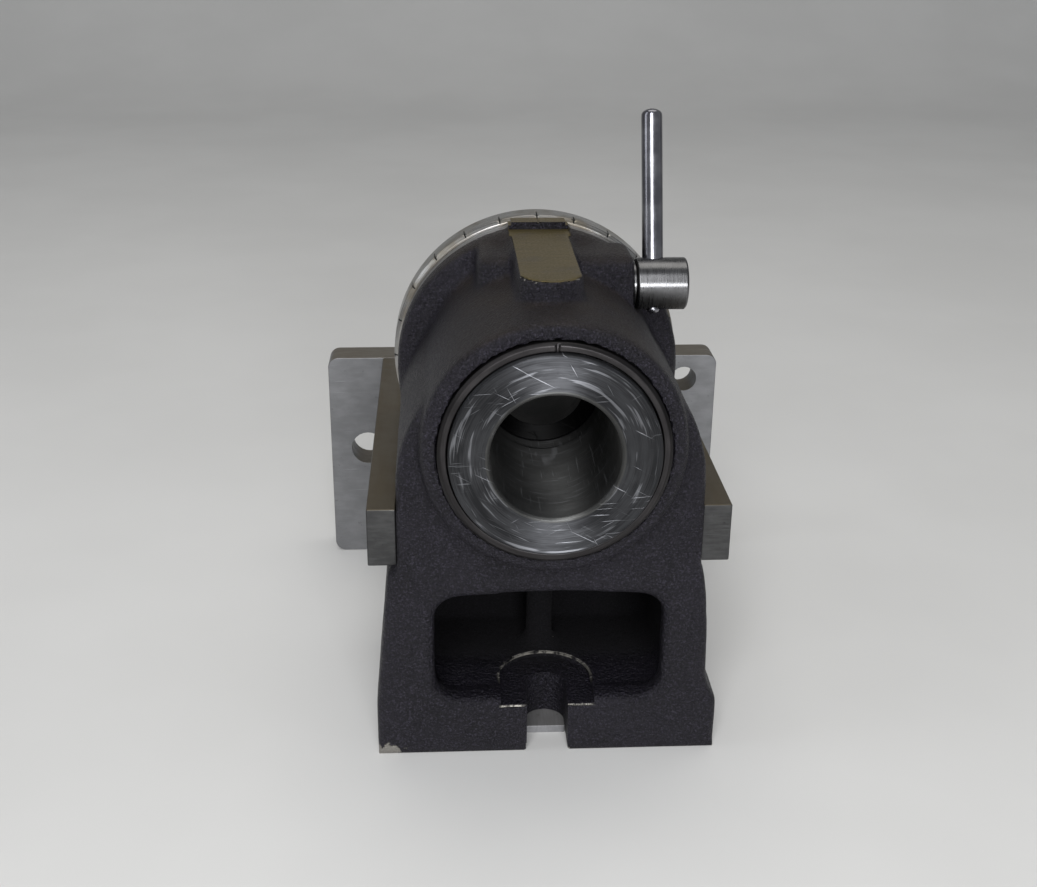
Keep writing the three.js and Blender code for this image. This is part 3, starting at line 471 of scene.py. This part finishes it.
def dial_piece():
    profile = [
        (25.3, DIAL_FRONT), (DIAL_RADIUS - 1.4, DIAL_FRONT), (DIAL_RADIUS, DIAL_FRONT + 1.4),
        (DIAL_RADIUS, DIAL_BACK - 0.8), (DIAL_RADIUS - 0.8, DIAL_BACK), (TAIL_BORE, DIAL_BACK),
        (TAIL_BORE, 104.3), (25.3, 104.3),
    ]
    piece = turned("dial_turned", eased_profile(profile, 0.2), Matrix.Translation(SPINDLE_AXIS), 240)
    centre = SPINDLE_Z / MM
    tools = []
    for i in range(DIAL_DIVISIONS):
        tools.append(box_tool((-0.25, DIAL_FRONT - 2, centre + DIAL_RADIUS - 0.4),
                              (0.25, DIAL_FRONT + GRADUATION_LENGTH, centre + DIAL_RADIUS + 2),
                              about_spindle(360 * i / DIAL_DIVISIONS)))
    screw = DIAL_SCREW
    for degrees in DIAL_SCREW_ANGLES:
        x, z = on_circle(DIAL_SCREW_CIRCLE, degrees)
        tools.append(round_tool(screw["head_radius"], screw["head_floor"], DIAL_BACK + 2, x, z))
    x, z = on_circle(DIAL_SCREW_CIRCLE, DIAL_DOWEL["angle"])
    tools.append(round_tool(DIAL_DOWEL["radius"], DIAL_FRONT, DIAL_BACK + 2, x, z))
    cut_away(piece, tools)
    shanks = [round_tool(screw["shank_radius"], 100, screw["head_floor"] + 0.5,
                         *on_circle(DIAL_SCREW_CIRCLE, degrees)) for degrees in DIAL_SCREW_ANGLES]
    cut_away(piece, shanks)
    return stand_for(smooth_with_flat_faces(piece), "dial")


def on_circle(radius, degrees):
    angle = math.radians(degrees)
    return radius * math.cos(angle), SPINDLE_Z / MM + radius * math.sin(angle)


ROD_INSET = 6.9  # the rod's axis, from the hub's left face


def lever_rod_piece():
    """The rod along its own axis: a small dome under the hub, a spigot, the rod and its domed tip."""
    radius, reach, seat, spigot, tail = 4, 66, 8.6, 2.4, 11.4
    dome_steps = 8
    tip_height = 2.6
    profile = [(0, -tail)]
    for i in range(1, dome_steps + 1):
        angle = math.pi / 2 * i / dome_steps
        profile.append((spigot * math.sin(angle), -tail + 1.5 * (1 - math.cos(angle))))
    straight_end = reach - tip_height - 0.4
    profile += [(spigot, seat), (radius - 0.3, seat), (radius, seat + 0.3), (radius, straight_end)]
    for i in range(1, dome_steps + 1):
        angle = math.pi / 2 * i / dome_steps
        profile.append((radius * math.cos(angle), reach - tip_height * (1 - math.sin(angle))))
    rod_x = HUB_LEFT + ROD_INSET * MM
    stand_up = Matrix.Rotation(math.pi / 2, 4, "X")
    lean = Matrix.Rotation(-LEVER_TILT, 4, "X")
    place = Matrix.Translation(LEVER_AXIS + Vector((rod_x, 0, 0))) @ lean @ stand_up
    piece = turned("lever_rod_turned", profile, place, 96)
    return stand_for(smooth_with_flat_faces(piece), "lever_rod")


# ---------------------------------------------------------------- pieces with eased edges

# How far each piece's sharp edges are eased, in millimetres.
EASED = {
    "rear_plate": 0.7, "left_bar": 0.5, "right_bar": 0.5, "lever_hub": 0.35, "hub_washer": 0.15,
    "front_tenon": 0.3, "rear_tenon": 0.3, "spindle_key": 0.3, "clamp_shaft": 0.25,
    "rear_bush": 0.3, "thrust_washer": 0.2, "clamp_shoe": 0.3, "dial_dowel": 0.3,
}
SCREW_EASE = 0.15
SHARP_ANGLE = math.radians(38)


def eased_copy(node, ease):
    """A copy of a CAD node with its flat faces whole and its sharp edges rounded."""
    bm = bmesh.new()
    bm.from_mesh(frame["nodes"][node].data)
    bmesh.ops.remove_doubles(bm, verts=bm.verts, dist=0.002 * MM)
    bmesh.ops.dissolve_limit(bm, angle_limit=math.radians(1), verts=bm.verts, edges=bm.edges)
    sharp = [edge for edge in bm.edges if edge.is_manifold and edge.calc_face_angle() > SHARP_ANGLE]
    bmesh.ops.bevel(bm, geom=sharp, offset=ease * MM, segments=3, profile=0.5, affect="EDGES",
                    clamp_overlap=True)
    mesh = bpy.data.meshes.new(node + "_eased")
    bm.to_mesh(mesh)
    bm.free()
    piece = new_object(node + "_eased", mesh)
    return stand_for(smooth_with_flat_faces(piece), node)


# ---------------------------------------------------------------- node helpers

def grey(value, tint=(1.0, 1.0, 1.0)):
    return (value * tint[0], value * tint[1], value * tint[2], 1.0)


class Surface:
    """One node material. Its methods add nodes and return their output sockets."""

    def __init__(self, name, metallic, roughness):
        self.material = bpy.data.materials.new(name)
        self.material.use_nodes = True
        self.tree = self.material.node_tree
        self.shader = self.tree.nodes["Principled BSDF"]
        self.shader.inputs["Metallic"].default_value = metallic
        self.shader.inputs["Roughness"].default_value = roughness
        self.coords = self.tree.nodes.new("ShaderNodeTexCoord").outputs["Object"]

    def node(self, kind, inputs=(), **settings):
        made = self.tree.nodes.new(kind)
        for key, value in settings.items():
            setattr(made, key, value)
        for slot, value in inputs:
            if isinstance(value, bpy.types.NodeSocket):
                self.tree.links.new(value, made.inputs[slot])
            else:
                made.inputs[slot].default_value = value
        return made

    def math(self, operation, first, second=0.0):
        return self.node("ShaderNodeMath", [(0, first), (1, second)], operation=operation).outputs[0]

    def vector(self, operation, first, second=(0, 0, 0)):
        return self.node("ShaderNodeVectorMath", [(0, first), (1, second)], operation=operation).outputs[0]

    def stretched(self, scale, turn=(0, 0, 0)):
        """The object's coordinates turned by degrees and then scaled."""
        angles = [math.radians(a) for a in turn]
        turned_by = self.node("ShaderNodeMapping", [("Vector", self.coords), ("Rotation", angles)])
        return self.vector("MULTIPLY", turned_by.outputs[0], scale)

    def noise(self, where, scale=1.0, detail=3.0, roughness=0.55, distortion=0.0):
        inputs = [("Vector", where), ("Scale", scale), ("Detail", detail), ("Roughness", roughness),
                  ("Distortion", distortion)]
        return self.node("ShaderNodeTexNoise", inputs).outputs["Fac"]

    def cells(self, where, scale=1.0):
        return self.node("ShaderNodeTexVoronoi", [("Vector", where), ("Scale", scale)]).outputs["Distance"]

    def ramp(self, value, low, high, out_low=0.0, out_high=1.0):
        inputs = [("Value", value), ("From Min", low), ("From Max", high), ("To Min", out_low),
                  ("To Max", out_high)]
        return self.node("ShaderNodeMapRange", inputs, interpolation_type="SMOOTHSTEP").outputs[0]

    def mix(self, factor, first, second):
        """Mixes two colours. 6 and 7 are the mix node's colour sockets, and 2 is its colour output."""
        return self.node("ShaderNodeMix", [(0, factor), (6, first), (7, second)],
                         data_type="RGBA").outputs[2]

    def parts(self, vector):
        return self.node("ShaderNodeSeparateXYZ", [(0, vector)]).outputs

    def upward(self):
        """1 where the surface faces up, 0 where it is upright or faces down."""
        normal = self.tree.nodes.new("ShaderNodeNewGeometry").outputs["Normal"]
        return self.ramp(self.parts(normal)["Z"], 0.45, 0.9)

    def turning(self, centre, axis, around, along):
        """Coordinates that run round an axis, so that a noise drawn in them looks like turning marks."""
        from_centre = self.vector("SUBTRACT", self.coords, tuple(centre))
        flat = tuple(0.0 if i == axis else 1.0 for i in range(3))
        radial = self.vector("MULTIPLY", from_centre, flat)
        radius = self.node("ShaderNodeVectorMath", [(0, radial)], operation="LENGTH").outputs["Value"]
        depth = self.parts(from_centre)[axis]
        travel = self.math("MULTIPLY", self.math("ADD", radius, depth), along)
        direction = self.vector("MULTIPLY", self.vector("NORMALIZE", radial), (around, around, around))
        parts = ["X", "Y", "Z"]
        line = self.node("ShaderNodeCombineXYZ", [(parts[axis], travel)]).outputs[0]
        return self.vector("ADD", direction, line)

    def from_spindle_axis(self):
        """The distance from the spindle's axis."""
        from_axis = self.vector("SUBTRACT", self.coords, tuple(SPINDLE_AXIS))
        across = self.vector("MULTIPLY", from_axis, (1, 0, 1))
        return self.node("ShaderNodeVectorMath", [(0, across)], operation="LENGTH").outputs["Value"]

    def brushed_round(self, axis, strength):
        """Spreads reflections across marks that run round the piece's own middle."""
        tangent = self.node("ShaderNodeTangent", direction_type="RADIAL", axis=axis)
        self.tree.links.new(tangent.outputs[0], self.shader.inputs["Tangent"])
        self.shader.inputs["Anisotropic"].default_value = strength
        self.shader.inputs["Anisotropic Rotation"].default_value = 0.25

    def colour(self, value):
        self.tree.links.new(value, self.shader.inputs["Base Color"])

    def rough(self, value):
        self.tree.links.new(value, self.shader.inputs["Roughness"])

    def metal(self, value):
        self.tree.links.new(value, self.shader.inputs["Metallic"])

    def bumps(self, *layers):
        """Each layer is a height from 0 to 1 and its depth in millimetres."""
        normal = None
        for height, depth in layers:
            inputs = [("Height", height), ("Distance", depth * MM), ("Strength", 1.0)]
            if normal is not None:
                inputs.append(("Normal", normal))
            normal = self.node("ShaderNodeBump", inputs).outputs[0]
        self.tree.links.new(normal, self.shader.inputs["Normal"])


# ---------------------------------------------------------------- materials

# Painted shade in the cored pocket under the barrel: its paint is darkened where shade falls. Each pair is
# where it starts and is full.
POCKET_SHADE = {"front": (18, 42), "back": (80, 72), "ceiling": (72.5, 70.5), "side": (49.5, 47.5)}


def metres(pair):
    return pair[0] * MM, pair[1] * MM


def cast_iron():
    """Black paint on a sand casting, bare steel-grey where it was machined afterwards or has worn."""
    s = Surface("painted_cast_iron", 0.0, 0.6)
    s.shader.inputs["Specular IOR Level"].default_value = 0.3
    s.shader.inputs["Specular Tint"].default_value = (0.97, 0.95, 1.0, 1.0)
    x, y, z = s.parts(s.coords)
    grain = s.noise(s.coords, 1100, 5, 0.65)
    pits = s.cells(s.coords, 800)
    blotch = s.noise(s.coords, 35, 3)
    machined_steel = bare_places(s, y)
    chips = worn_places(s)
    pad = s.ramp(z, (PAD_TOP - 0.35) * MM, (PAD_TOP - 0.15) * MM)
    strip = s.ramp(s.math("ABSOLUTE", x), (PAD_HALF_WIDTH + 0.2) * MM,
                   (PAD_HALF_WIDTH + 0.1) * MM)
    pad = s.math("MULTIPLY", s.math("MULTIPLY", pad, strip), s.upward())

    paint = s.mix(s.ramp(blotch, 0.35, 0.65), grey(0.0030, (1.0, 0.86, 1.5)),
                  grey(0.006, (1.0, 0.87, 1.4)))
    # Light specks on the paint: partly dust, partly painted glints of the rough cast surface.
    specks_and_painted_glints = s.ramp(s.noise(s.coords, 1700, 3), 0.52, 0.66)
    paint = s.mix(s.math("MULTIPLY", specks_and_painted_glints, 0.7), paint, grey(0.040, (1.0, 0.90, 1.3)))
    # Upward faces high on the casting turn warm brown: partly dust, partly a painted warm reflection of the
    # ceiling.
    dust_and_top_reflection = s.math("MULTIPLY", s.upward(), s.ramp(blotch, 0.3, 0.75, 0.3, 0.85))
    dust_and_top_reflection = s.math("MULTIPLY", dust_and_top_reflection, s.ramp(z, 0.090, 0.120))
    paint = s.mix(dust_and_top_reflection, paint, grey(0.016, (1.3, 0.96, 0.66)))
    # Painted shade: darkens the paint inside the cored pocket under the barrel.
    painted_pocket_shade = s.math("MULTIPLY", s.ramp(y, *map(row_y, POCKET_SHADE["front"])),
                    s.ramp(y, *map(row_y, POCKET_SHADE["back"])))
    painted_pocket_shade = s.math("MULTIPLY", painted_pocket_shade, s.ramp(z, *metres(POCKET_SHADE["ceiling"])))
    painted_pocket_shade = s.math("MULTIPLY", painted_pocket_shade, s.ramp(s.math("ABSOLUTE", x), *metres(POCKET_SHADE["side"])))
    paint = s.mix(s.math("MULTIPLY", painted_pocket_shade, 0.85), paint, grey(0.0012))

    mill = s.noise(s.stretched((60, 1400, 60)), 1.0, 3)
    steel = s.mix(s.ramp(mill, 0.3, 0.7), grey(0.20, (1.0, 0.99, 0.97)), grey(0.33, (1.0, 0.99, 0.97)))
    # The milled pad's beige is a painted warm reflection of the ceiling on its top; the stains over it are
    # the metal's own.
    painted_pad_reflection = s.mix(s.ramp(mill, 0.25, 0.75), grey(0.08, (1.26, 1.0, 0.42)),
                  grey(0.14, (1.24, 1.0, 0.44)))
    stain = s.ramp(s.noise(s.coords, 90, 4), 0.5, 0.7)
    painted_pad_reflection = s.mix(s.math("MULTIPLY", stain, 0.5), painted_pad_reflection, grey(0.10, (1.1, 0.95, 0.7)))

    colour = s.mix(machined_steel, paint, steel)
    colour = s.mix(chips, colour, grey(0.30, (1.05, 1.0, 0.90)))
    s.colour(s.mix(pad, colour, painted_pad_reflection))
    bare = s.math("MAXIMUM", s.math("MAXIMUM", machined_steel, chips), pad)
    s.metal(s.math("MULTIPLY", bare, 0.8))
    paint_rough = s.ramp(grain, 0.3, 0.7, 0.36, 0.58)
    dull = s.math("MAXIMUM", s.math("MULTIPLY", paint_rough, s.ramp(bare, 0, 1, 1.0, 0.9)), painted_pocket_shade)
    s.rough(dull)
    painted = s.math("SUBTRACT", 1.0, bare)
    s.bumps((s.math("MULTIPLY", grain, painted), 1.1), (s.math("MULTIPLY", pits, painted), 0.5),
            (s.math("MULTIPLY", mill, bare), 0.02))
    return s.material


def bare_places(s, y):
    """The flange's rim and back and the underside, which are never painted."""
    axis_distance = s.from_spindle_axis()
    behind_paint = s.ramp(y, row_y(LAND_FRONT + 0.1), row_y(LAND_FRONT + 0.2))
    rim = s.math("MULTIPLY", behind_paint, s.ramp(axis_distance, 0.0535, 0.0545))
    back_face = s.ramp(y, row_y(95.2), row_y(95.5))
    underside = s.ramp(s.parts(s.coords)["Z"], 0.0004, 0.0001)
    places = s.math("MAXIMUM", rim, back_face)
    return s.math("MAXIMUM", places, underside)


def worn_places(s):
    """Chips along the edges, flecks, the spotface's worn rim and a bare patch at the foot's corner."""
    x, y, z = s.parts(s.coords)
    edge = s.tree.nodes.new("ShaderNodeAttribute")
    edge.attribute_name = "bulge"
    ragged = s.noise(s.coords, 260, 4)
    standing_out = s.math("MULTIPLY", edge.outputs["Fac"], 2.2)
    near_floor = s.math("MULTIPLY", s.ramp(z, 0.005, 0.001), 0.10)
    chips = s.ramp(s.math("ADD", s.math("ADD", standing_out, ragged), near_floor), 1.10, 1.17)
    flecks = s.ramp(s.noise(s.coords, 420, 2), 0.80, 0.83)
    places = s.math("MAXIMUM", chips, flecks)
    places = s.math("MAXIMUM", places, worn_spotface_rim(s, x, y, z, ragged))
    return s.math("MAXIMUM", places, bare_corner(s, ragged))


def worn_spotface_rim(s, x, y, z, ragged):
    """The bright line round the top of the spotface, and along its front edge."""
    centre = (0, row_y(SPOTFACE["centre"]), 0)
    across = s.vector("MULTIPLY", s.vector("SUBTRACT", s.coords, centre), (1, 1, 0))
    radius = s.node("ShaderNodeVectorMath", [(0, across)], operation="LENGTH").outputs["Value"]
    rim = s.ramp(radius, (SPOTFACE["radius"] + 1.1) * MM, (SPOTFACE["radius"] + 0.3) * MM)
    rim = s.math("MULTIPLY", rim, s.ramp(z, (WINDOW_FLOOR - 1.0) * MM, (WINDOW_FLOOR - 0.6) * MM))
    rim = s.math("MULTIPLY", rim, s.ramp(z, (WINDOW_FLOOR + 1.0) * MM, (WINDOW_FLOOR + 0.6) * MM))
    low = (SPOTFACE["floor"] - 0.7) * MM
    front = s.math("MULTIPLY", s.ramp(y, row_y(1.4), row_y(0.6)), s.ramp(z, low, low + 0.3 * MM))
    front = s.math("MULTIPLY", front, s.ramp(z, low + 1.3 * MM, low + 1.0 * MM))
    front = s.math("MULTIPLY", front, s.ramp(s.math("ABSOLUTE", x), 0.0185, 0.0175))
    return s.math("MULTIPLY", s.math("MAXIMUM", rim, front), s.ramp(ragged, 0.36, 0.52))


def bare_corner(s, ragged):
    """Paint knocked off at the foot's lower left corner."""
    corner = (-0.061, row_y(0), 0.0015)
    reach = s.vector("MULTIPLY", s.vector("SUBTRACT", s.coords, corner), (0.55, 1.0, 1.2))
    distance = s.node("ShaderNodeVectorMath", [(0, reach)], operation="LENGTH").outputs["Value"]
    spread = s.math("ADD", distance, s.math("MULTIPLY", ragged, 0.010))
    return s.math("MULTIPLY", s.ramp(spread, 0.0088, 0.0078), 0.7)


def turned_steel(name, centre, axis, dark, light, roughness, tint, marks=4000, bump=0.02, brushed=0.0):
    """Turned steel with marks round an axis and slow stains."""
    s = Surface(name, 1.0, roughness)
    rings = s.noise(s.turning(centre, axis, 1.2, marks), 1.0, 2)
    broad = s.noise(s.turning(centre, axis, 2.5, marks / 14), 1.0, 3)
    stain = s.noise(s.coords, 60, 4)
    tone = s.math("ADD", s.math("MULTIPLY", rings, 0.35), s.math("MULTIPLY", broad, 0.65))
    colour = s.mix(s.ramp(tone, 0.36, 0.62), grey(dark, tint), grey(light, tint))
    colour = s.mix(s.math("MULTIPLY", s.ramp(stain, 0.5, 0.72), 0.45), colour, grey(dark * 0.75, tint))
    s.colour(colour)
    s.rough(s.ramp(s.math("ADD", rings, stain), 0.7, 1.3, roughness * 0.75, roughness * 1.3))
    s.bumps((rings, bump))
    if brushed > 0:
        s.brushed_round("XYZ"[axis], brushed)
    return s.material


def ground_steel():
    """The spindle's ground face, with scratches and long arcs. The far end of its bore is darkened as
    painted shade.
    """
    s = Surface("ground_steel", 1.0, 0.3)
    tint = (0.98, 1.0, 1.07)
    rings = s.noise(s.turning(SPINDLE_AXIS, 1, 1.0, 2600), 1.0, 2)
    broad = s.noise(s.turning(SPINDLE_AXIS, 1, 1.6, 240), 1.0, 3)
    stain = s.noise(s.coords, 45, 4)
    tone = s.math("ADD", s.math("MULTIPLY", rings, 0.4), s.math("MULTIPLY", broad, 0.6))
    colour = s.mix(s.ramp(tone, 0.38, 0.62), grey(0.030, tint), grey(0.066, tint))
    colour = s.mix(s.math("MULTIPLY", s.ramp(stain, 0.48, 0.7), 0.5), colour, grey(0.04, tint))
    arcs = s.ramp(s.noise(s.turning(SPINDLE_AXIS, 1, 1.7, 620), 1.0, 2), 0.60, 0.70)
    colour = s.mix(s.math("MULTIPLY", arcs, 0.5), colour, grey(0.34, tint))
    lines = scratches(s)
    colour = s.mix(s.math("MULTIPLY", lines, 0.6), colour, grey(0.45, tint))
    y = s.parts(s.coords)["Y"]
    in_bore = s.ramp(s.from_spindle_axis(), (BORE_RADIUS + 1.7) * MM, (BORE_RADIUS + 1.3) * MM)
    # Painted shade: the far end of the bore is darkened nearly to black.
    painted_bore_end_shade = s.math("MULTIPLY", in_bore, s.ramp(y, row_y(BORE_END - 2), row_y(BORE_END - 1)))
    colour = s.mix(s.math("MULTIPLY", in_bore, 0.7), colour, grey(0.085, (1.0, 1.0, 0.96)))
    s.colour(s.mix(painted_bore_end_shade, colour, grey(0.006)))
    s.rough(s.ramp(s.math("ADD", rings, stain), 0.7, 1.3, 0.37, 0.47))
    s.bumps((rings, 0.008), (lines, 0.04))
    s.brushed_round("Y", 0.93)
    return s.material


def dial_steel():
    """Turned steel with ink in the graduations."""
    s = Surface("dial_steel", 1.0, 0.32)
    rings = s.noise(s.turning(SPINDLE_AXIS, 1, 1.2, 4000), 1.0, 2)
    stain = s.noise(s.coords, 60, 4)
    tint = (1.0, 0.99, 0.97)
    colour = s.mix(s.ramp(rings, 0.36, 0.62), grey(0.26, tint), grey(0.46, tint))
    stained = s.math("MULTIPLY", s.ramp(stain, 0.40, 0.66), 0.7)
    colour = s.mix(stained, colour, grey(0.18, (1.15, 0.98, 0.70)))
    offset = s.vector("SUBTRACT", s.coords, tuple(SPINDLE_AXIS))
    angle = s.math("ARCTAN2", s.parts(offset)["X"], s.parts(offset)["Z"])
    half_pitch = math.pi / DIAL_DIVISIONS
    ends = [(0, angle), (1, half_pitch), (2, -half_pitch)]
    from_line = s.math("ABSOLUTE", s.node("ShaderNodeMath", ends, operation="WRAP").outputs[0])
    width = 0.32 / DIAL_RADIUS
    on_line = s.ramp(from_line, width, width * 0.75)
    along = s.ramp(s.parts(s.coords)["Y"], row_y(DIAL_FRONT + GRADUATION_LENGTH),
                   row_y(DIAL_FRONT + GRADUATION_LENGTH - 0.1))
    outside = s.ramp(s.from_spindle_axis(), (DIAL_RADIUS - 1.5) * MM, (DIAL_RADIUS - 1.3) * MM)
    ink = s.math("MULTIPLY", s.math("MULTIPLY", on_line, along), outside)
    s.colour(s.mix(ink, colour, grey(0.012)))
    s.rough(s.ramp(s.math("ADD", rings, stain), 0.7, 1.3, 0.24, 0.42))
    s.bumps((rings, 0.02))
    return s.material


# Each set of scratches: its slope in degrees, the noise's scale along and across it, and its threshold.
SCRATCHES = ((4, 60, 1500, 0.66), (-28, 45, 1300, 0.66), (-62, 60, 1700, 0.69), (30, 55, 1700, 0.70))


def scratches(s):
    """Thin broken lines in a few directions, seen on a face that looks along Y."""
    total = None
    for degrees, length, width, low in SCRATCHES:
        lines = s.noise(s.stretched((length, 40, width), (0, degrees, 0)), 1.0, 1.5, 0.5, 0.15)
        patch = s.ramp(s.noise(s.coords, 40 + degrees / 10, 2), 0.40, 0.60)
        line = s.math("MULTIPLY", s.ramp(lines, low, low + 0.06), patch)
        total = line if total is None else s.math("MAXIMUM", total, line)
    return total


def milled_steel(name, dark, light, roughness, tint, top_reflection_and_dust, stretch, metallic):
    """Flat bar stock: fine marks along one direction, grey sides and a duller, warmer top, whose warm tint
    is dust and a painted warm reflection of the ceiling.
    """
    s = Surface(name, metallic, roughness)
    marks = s.noise(s.stretched(stretch), 1.0, 3)
    blotch = s.noise(s.coords, 70, 4)
    tone = s.math("ADD", s.math("MULTIPLY", marks, 0.5), s.math("MULTIPLY", blotch, 0.5))
    colour = s.mix(s.ramp(tone, 0.36, 0.64), grey(dark, tint), grey(light, tint))
    spots = s.ramp(s.noise(s.coords, 420, 3), 0.66, 0.76)
    colour = s.mix(s.math("MULTIPLY", spots, 0.6), colour, grey(dark * 0.45, tint))
    # Upward faces are tinted warm: partly dust, partly a painted warm reflection of the ceiling.
    dust_and_top_reflection = s.math("MULTIPLY", s.upward(), top_reflection_and_dust)
    colour = s.mix(dust_and_top_reflection, colour, grey(0.09, (1.2, 0.98, 0.64)))
    hair = s.ramp(s.noise(s.stretched((50, 60, 2400), (20, 0, 15)), 1.0, 1), 0.72, 0.78)
    colour = s.mix(s.math("MULTIPLY", hair, 0.5), colour, grey(light * 1.8, tint))
    s.colour(colour)
    s.rough(s.ramp(tone, 0.35, 0.65, roughness * 1.15, roughness * 0.85))
    s.bumps((marks, 0.02), (blotch, 0.05), (hair, 0.02))
    return s.material


def polished_rod():
    s = Surface("polished_rod", 1.0, 0.2)
    marks = s.noise(s.stretched((900, 60, 60)), 1.0, 2)
    blotch = s.noise(s.coords, 120, 3)
    s.colour(s.mix(s.ramp(blotch, 0.35, 0.7), grey(0.20, (1, 1, 1.12)), grey(0.30, (1, 1, 1.08))))
    s.rough(s.ramp(s.math("ADD", marks, blotch), 0.7, 1.3, 0.16, 0.26))
    return s.material


def black_oxide():
    s = Surface("black_oxide", 0.7, 0.45)
    blotch = s.noise(s.coords, 300, 4)
    s.colour(s.mix(s.ramp(blotch, 0.35, 0.7), grey(0.010), grey(0.03, (1.05, 1.0, 0.95))))
    s.rough(s.ramp(blotch, 0.3, 0.7, 0.35, 0.55))
    s.bumps((blotch, 0.02))
    return s.material


def warm_metal(name, dark, light, roughness):
    """Bronze or brass, turned, with darker handled patches."""
    s = Surface(name, 1.0, roughness)
    marks = s.noise(s.stretched((90, 2400, 90)), 1.0, 2)
    blotch = s.noise(s.coords, 140, 4)
    tone = s.math("ADD", s.math("MULTIPLY", marks, 0.4), s.math("MULTIPLY", blotch, 0.6))
    s.colour(s.mix(s.ramp(tone, 0.38, 0.62), dark, light))
    s.rough(s.ramp(blotch, 0.3, 0.7, roughness * 0.8, roughness * 1.3))
    s.bumps((marks, 0.01))
    return s.material


# ---------------------------------------------------------------- floor, lights and camera

def floor_and_backdrop():
    """A pale floor that curves up into a pale backdrop far behind."""
    width, front, back, rise, bend = 24.0, -12.0, 2.2, 3.0, 0.8
    outline = [(front, 0), (back - bend, 0)]
    steps = 16
    for i in range(1, steps + 1):
        angle = math.pi / 2 * i / steps
        outline.append((back - bend + bend * math.sin(angle), bend * (1 - math.cos(angle))))
    outline.append((back, rise))
    points = [(side * width / 2, y, z) for y, z in outline for side in (-1, 1)]
    faces = [(2 * i, 2 * i + 1, 2 * i + 3, 2 * i + 2) for i in range(len(outline) - 1)]
    mesh = bpy.data.meshes.new("floor")
    mesh.from_pydata(points, [], faces)
    for polygon in mesh.polygons:
        polygon.use_smooth = True
    floor = new_object("floor", mesh)
    s = Surface("pale_floor", 0.0, 0.6)
    cloud = s.ramp(s.noise(s.coords, 6, 3), 0.3, 0.7)
    s.colour(s.mix(cloud, (0.65, 0.645, 0.63, 1), (0.68, 0.675, 0.66, 1)))
    floor.data.materials.append(s.material)


def soft_light(name, place, aim, width, height, power, colour):
    light = bpy.data.lights.new(name, "AREA")
    light.shape = "RECTANGLE"
    light.size = width
    light.size_y = height
    light.energy = power
    light.color = colour
    obj = new_object(name, light)
    obj.location = place
    obj.rotation_euler = (Vector(aim) - Vector(place)).to_track_quat("-Z", "Y").to_euler()


def studio():
    centre = (0, 0, 0.09)
    soft_light("front_light", (0.12, -1.2, 0.34), centre, 0.30, 0.22, 6.5, (0.97, 0.98, 1.0))
    soft_light("key_light", (-0.22, -1.20, 1.06), centre, 0.6, 0.95, 15.0, (0.98, 0.985, 1.0))
    soft_light("ceiling_light", (0.1, 0.35, 1.5), centre, 1.2, 0.8, 5.2, (1.0, 0.97, 0.92))
    soft_light("left_light", (-1.3, -0.2, 0.9), centre, 0.4, 1.0, 2.5, (0.95, 0.97, 1.0))
    world = bpy.data.worlds.new("studio")
    world.use_nodes = True
    background = world.node_tree.nodes["Background"]
    background.inputs["Color"].default_value = (0.93, 0.96, 1.0, 1.0)
    background.inputs["Strength"].default_value = 0.29
    bpy.context.scene.world = world
    bpy.context.scene.view_settings.view_transform = "Standard"


CAMERA_PLACE = (-0.0373, -0.5254, 0.3090)
CAMERA_LENS = 47.71
CAMERA_PITCH = math.radians(22.51)
CAMERA_YAW = math.radians(3.305)
CAMERA_ROLL = math.radians(0.553)


def camera():
    data = bpy.data.cameras.new("camera")
    data.lens = CAMERA_LENS
    data.sensor_width = 36
    data.clip_start = 0.02
    obj = new_object("camera", data)
    turn = Matrix.Rotation(-CAMERA_YAW, 4, "Z") @ Matrix.Rotation(math.pi / 2 - CAMERA_PITCH, 4, "X")
    obj.matrix_world = Matrix.Translation(CAMERA_PLACE) @ turn @ Matrix.Rotation(CAMERA_ROLL, 4, "Z")
    bpy.context.scene.camera = obj


# ---------------------------------------------------------------- the whole scene

def paint(obj, material):
    obj.data.materials.clear()
    obj.data.materials.append(material)


def main():
    pieces = {
        "base_casting": casting_skin(),
        "spindle": spindle_piece(),
        "front_bush": front_bush_piece(),
        "dial": dial_piece(),
        "lever_rod": lever_rod_piece(),
    }
    for node in BODY_OF:
        if node.rsplit("_", 1)[-1].isdigit() or node.endswith("_screw"):
            pieces[node] = eased_copy(node, SCREW_EASE)
        elif node in EASED:
            pieces[node] = eased_copy(node, EASED[node])

    warm = (1.04, 0.98, 1.0)
    finishes = {
        "cast_iron": cast_iron(),
        "ground_steel": ground_steel(),
        "dark_steel": turned_steel("dark_steel", SPINDLE_AXIS, 1, 0.024, 0.040, 0.42, warm),
        "dial_steel": dial_steel(),
        "hub_steel": turned_steel("hub_steel", LEVER_AXIS, 0, 0.12, 0.15, 0.28, (1.0, 1.0, 1.02), 2400,
                                  bump=0.004, brushed=0.5),
        "rod_steel": polished_rod(),
        "bar_steel": milled_steel("bar_steel", 0.040, 0.064, 0.46, (1.0, 1.0, 1.0), 0.85,
                                  (160, 25, 700), metallic=0.75),
        "plate_steel": milled_steel("plate_steel", 0.165, 0.205, 0.5, (1.0, 1.01, 1.04), 0.75,
                                    (90, 300, 260), metallic=0.5),
        "tenon_steel": milled_steel("tenon_steel", 0.19, 0.25, 0.5, (1.0, 1.0, 1.03), 0.2,
                                    (900, 60, 300), metallic=0.3),
        "black_screws": black_oxide(),
        "bronze": warm_metal("bronze", (0.20, 0.11, 0.04, 1), (0.34, 0.20, 0.08, 1), 0.35),
        "brass": warm_metal("brass", (0.34, 0.22, 0.07, 1), (0.52, 0.37, 0.13, 1), 0.3),
    }
    for node, obj in frame["nodes"].items():
        paint(pieces.get(node, obj), finishes[SLOT_OF[node]])

    floor_and_backdrop()
    studio()
    camera()


main()
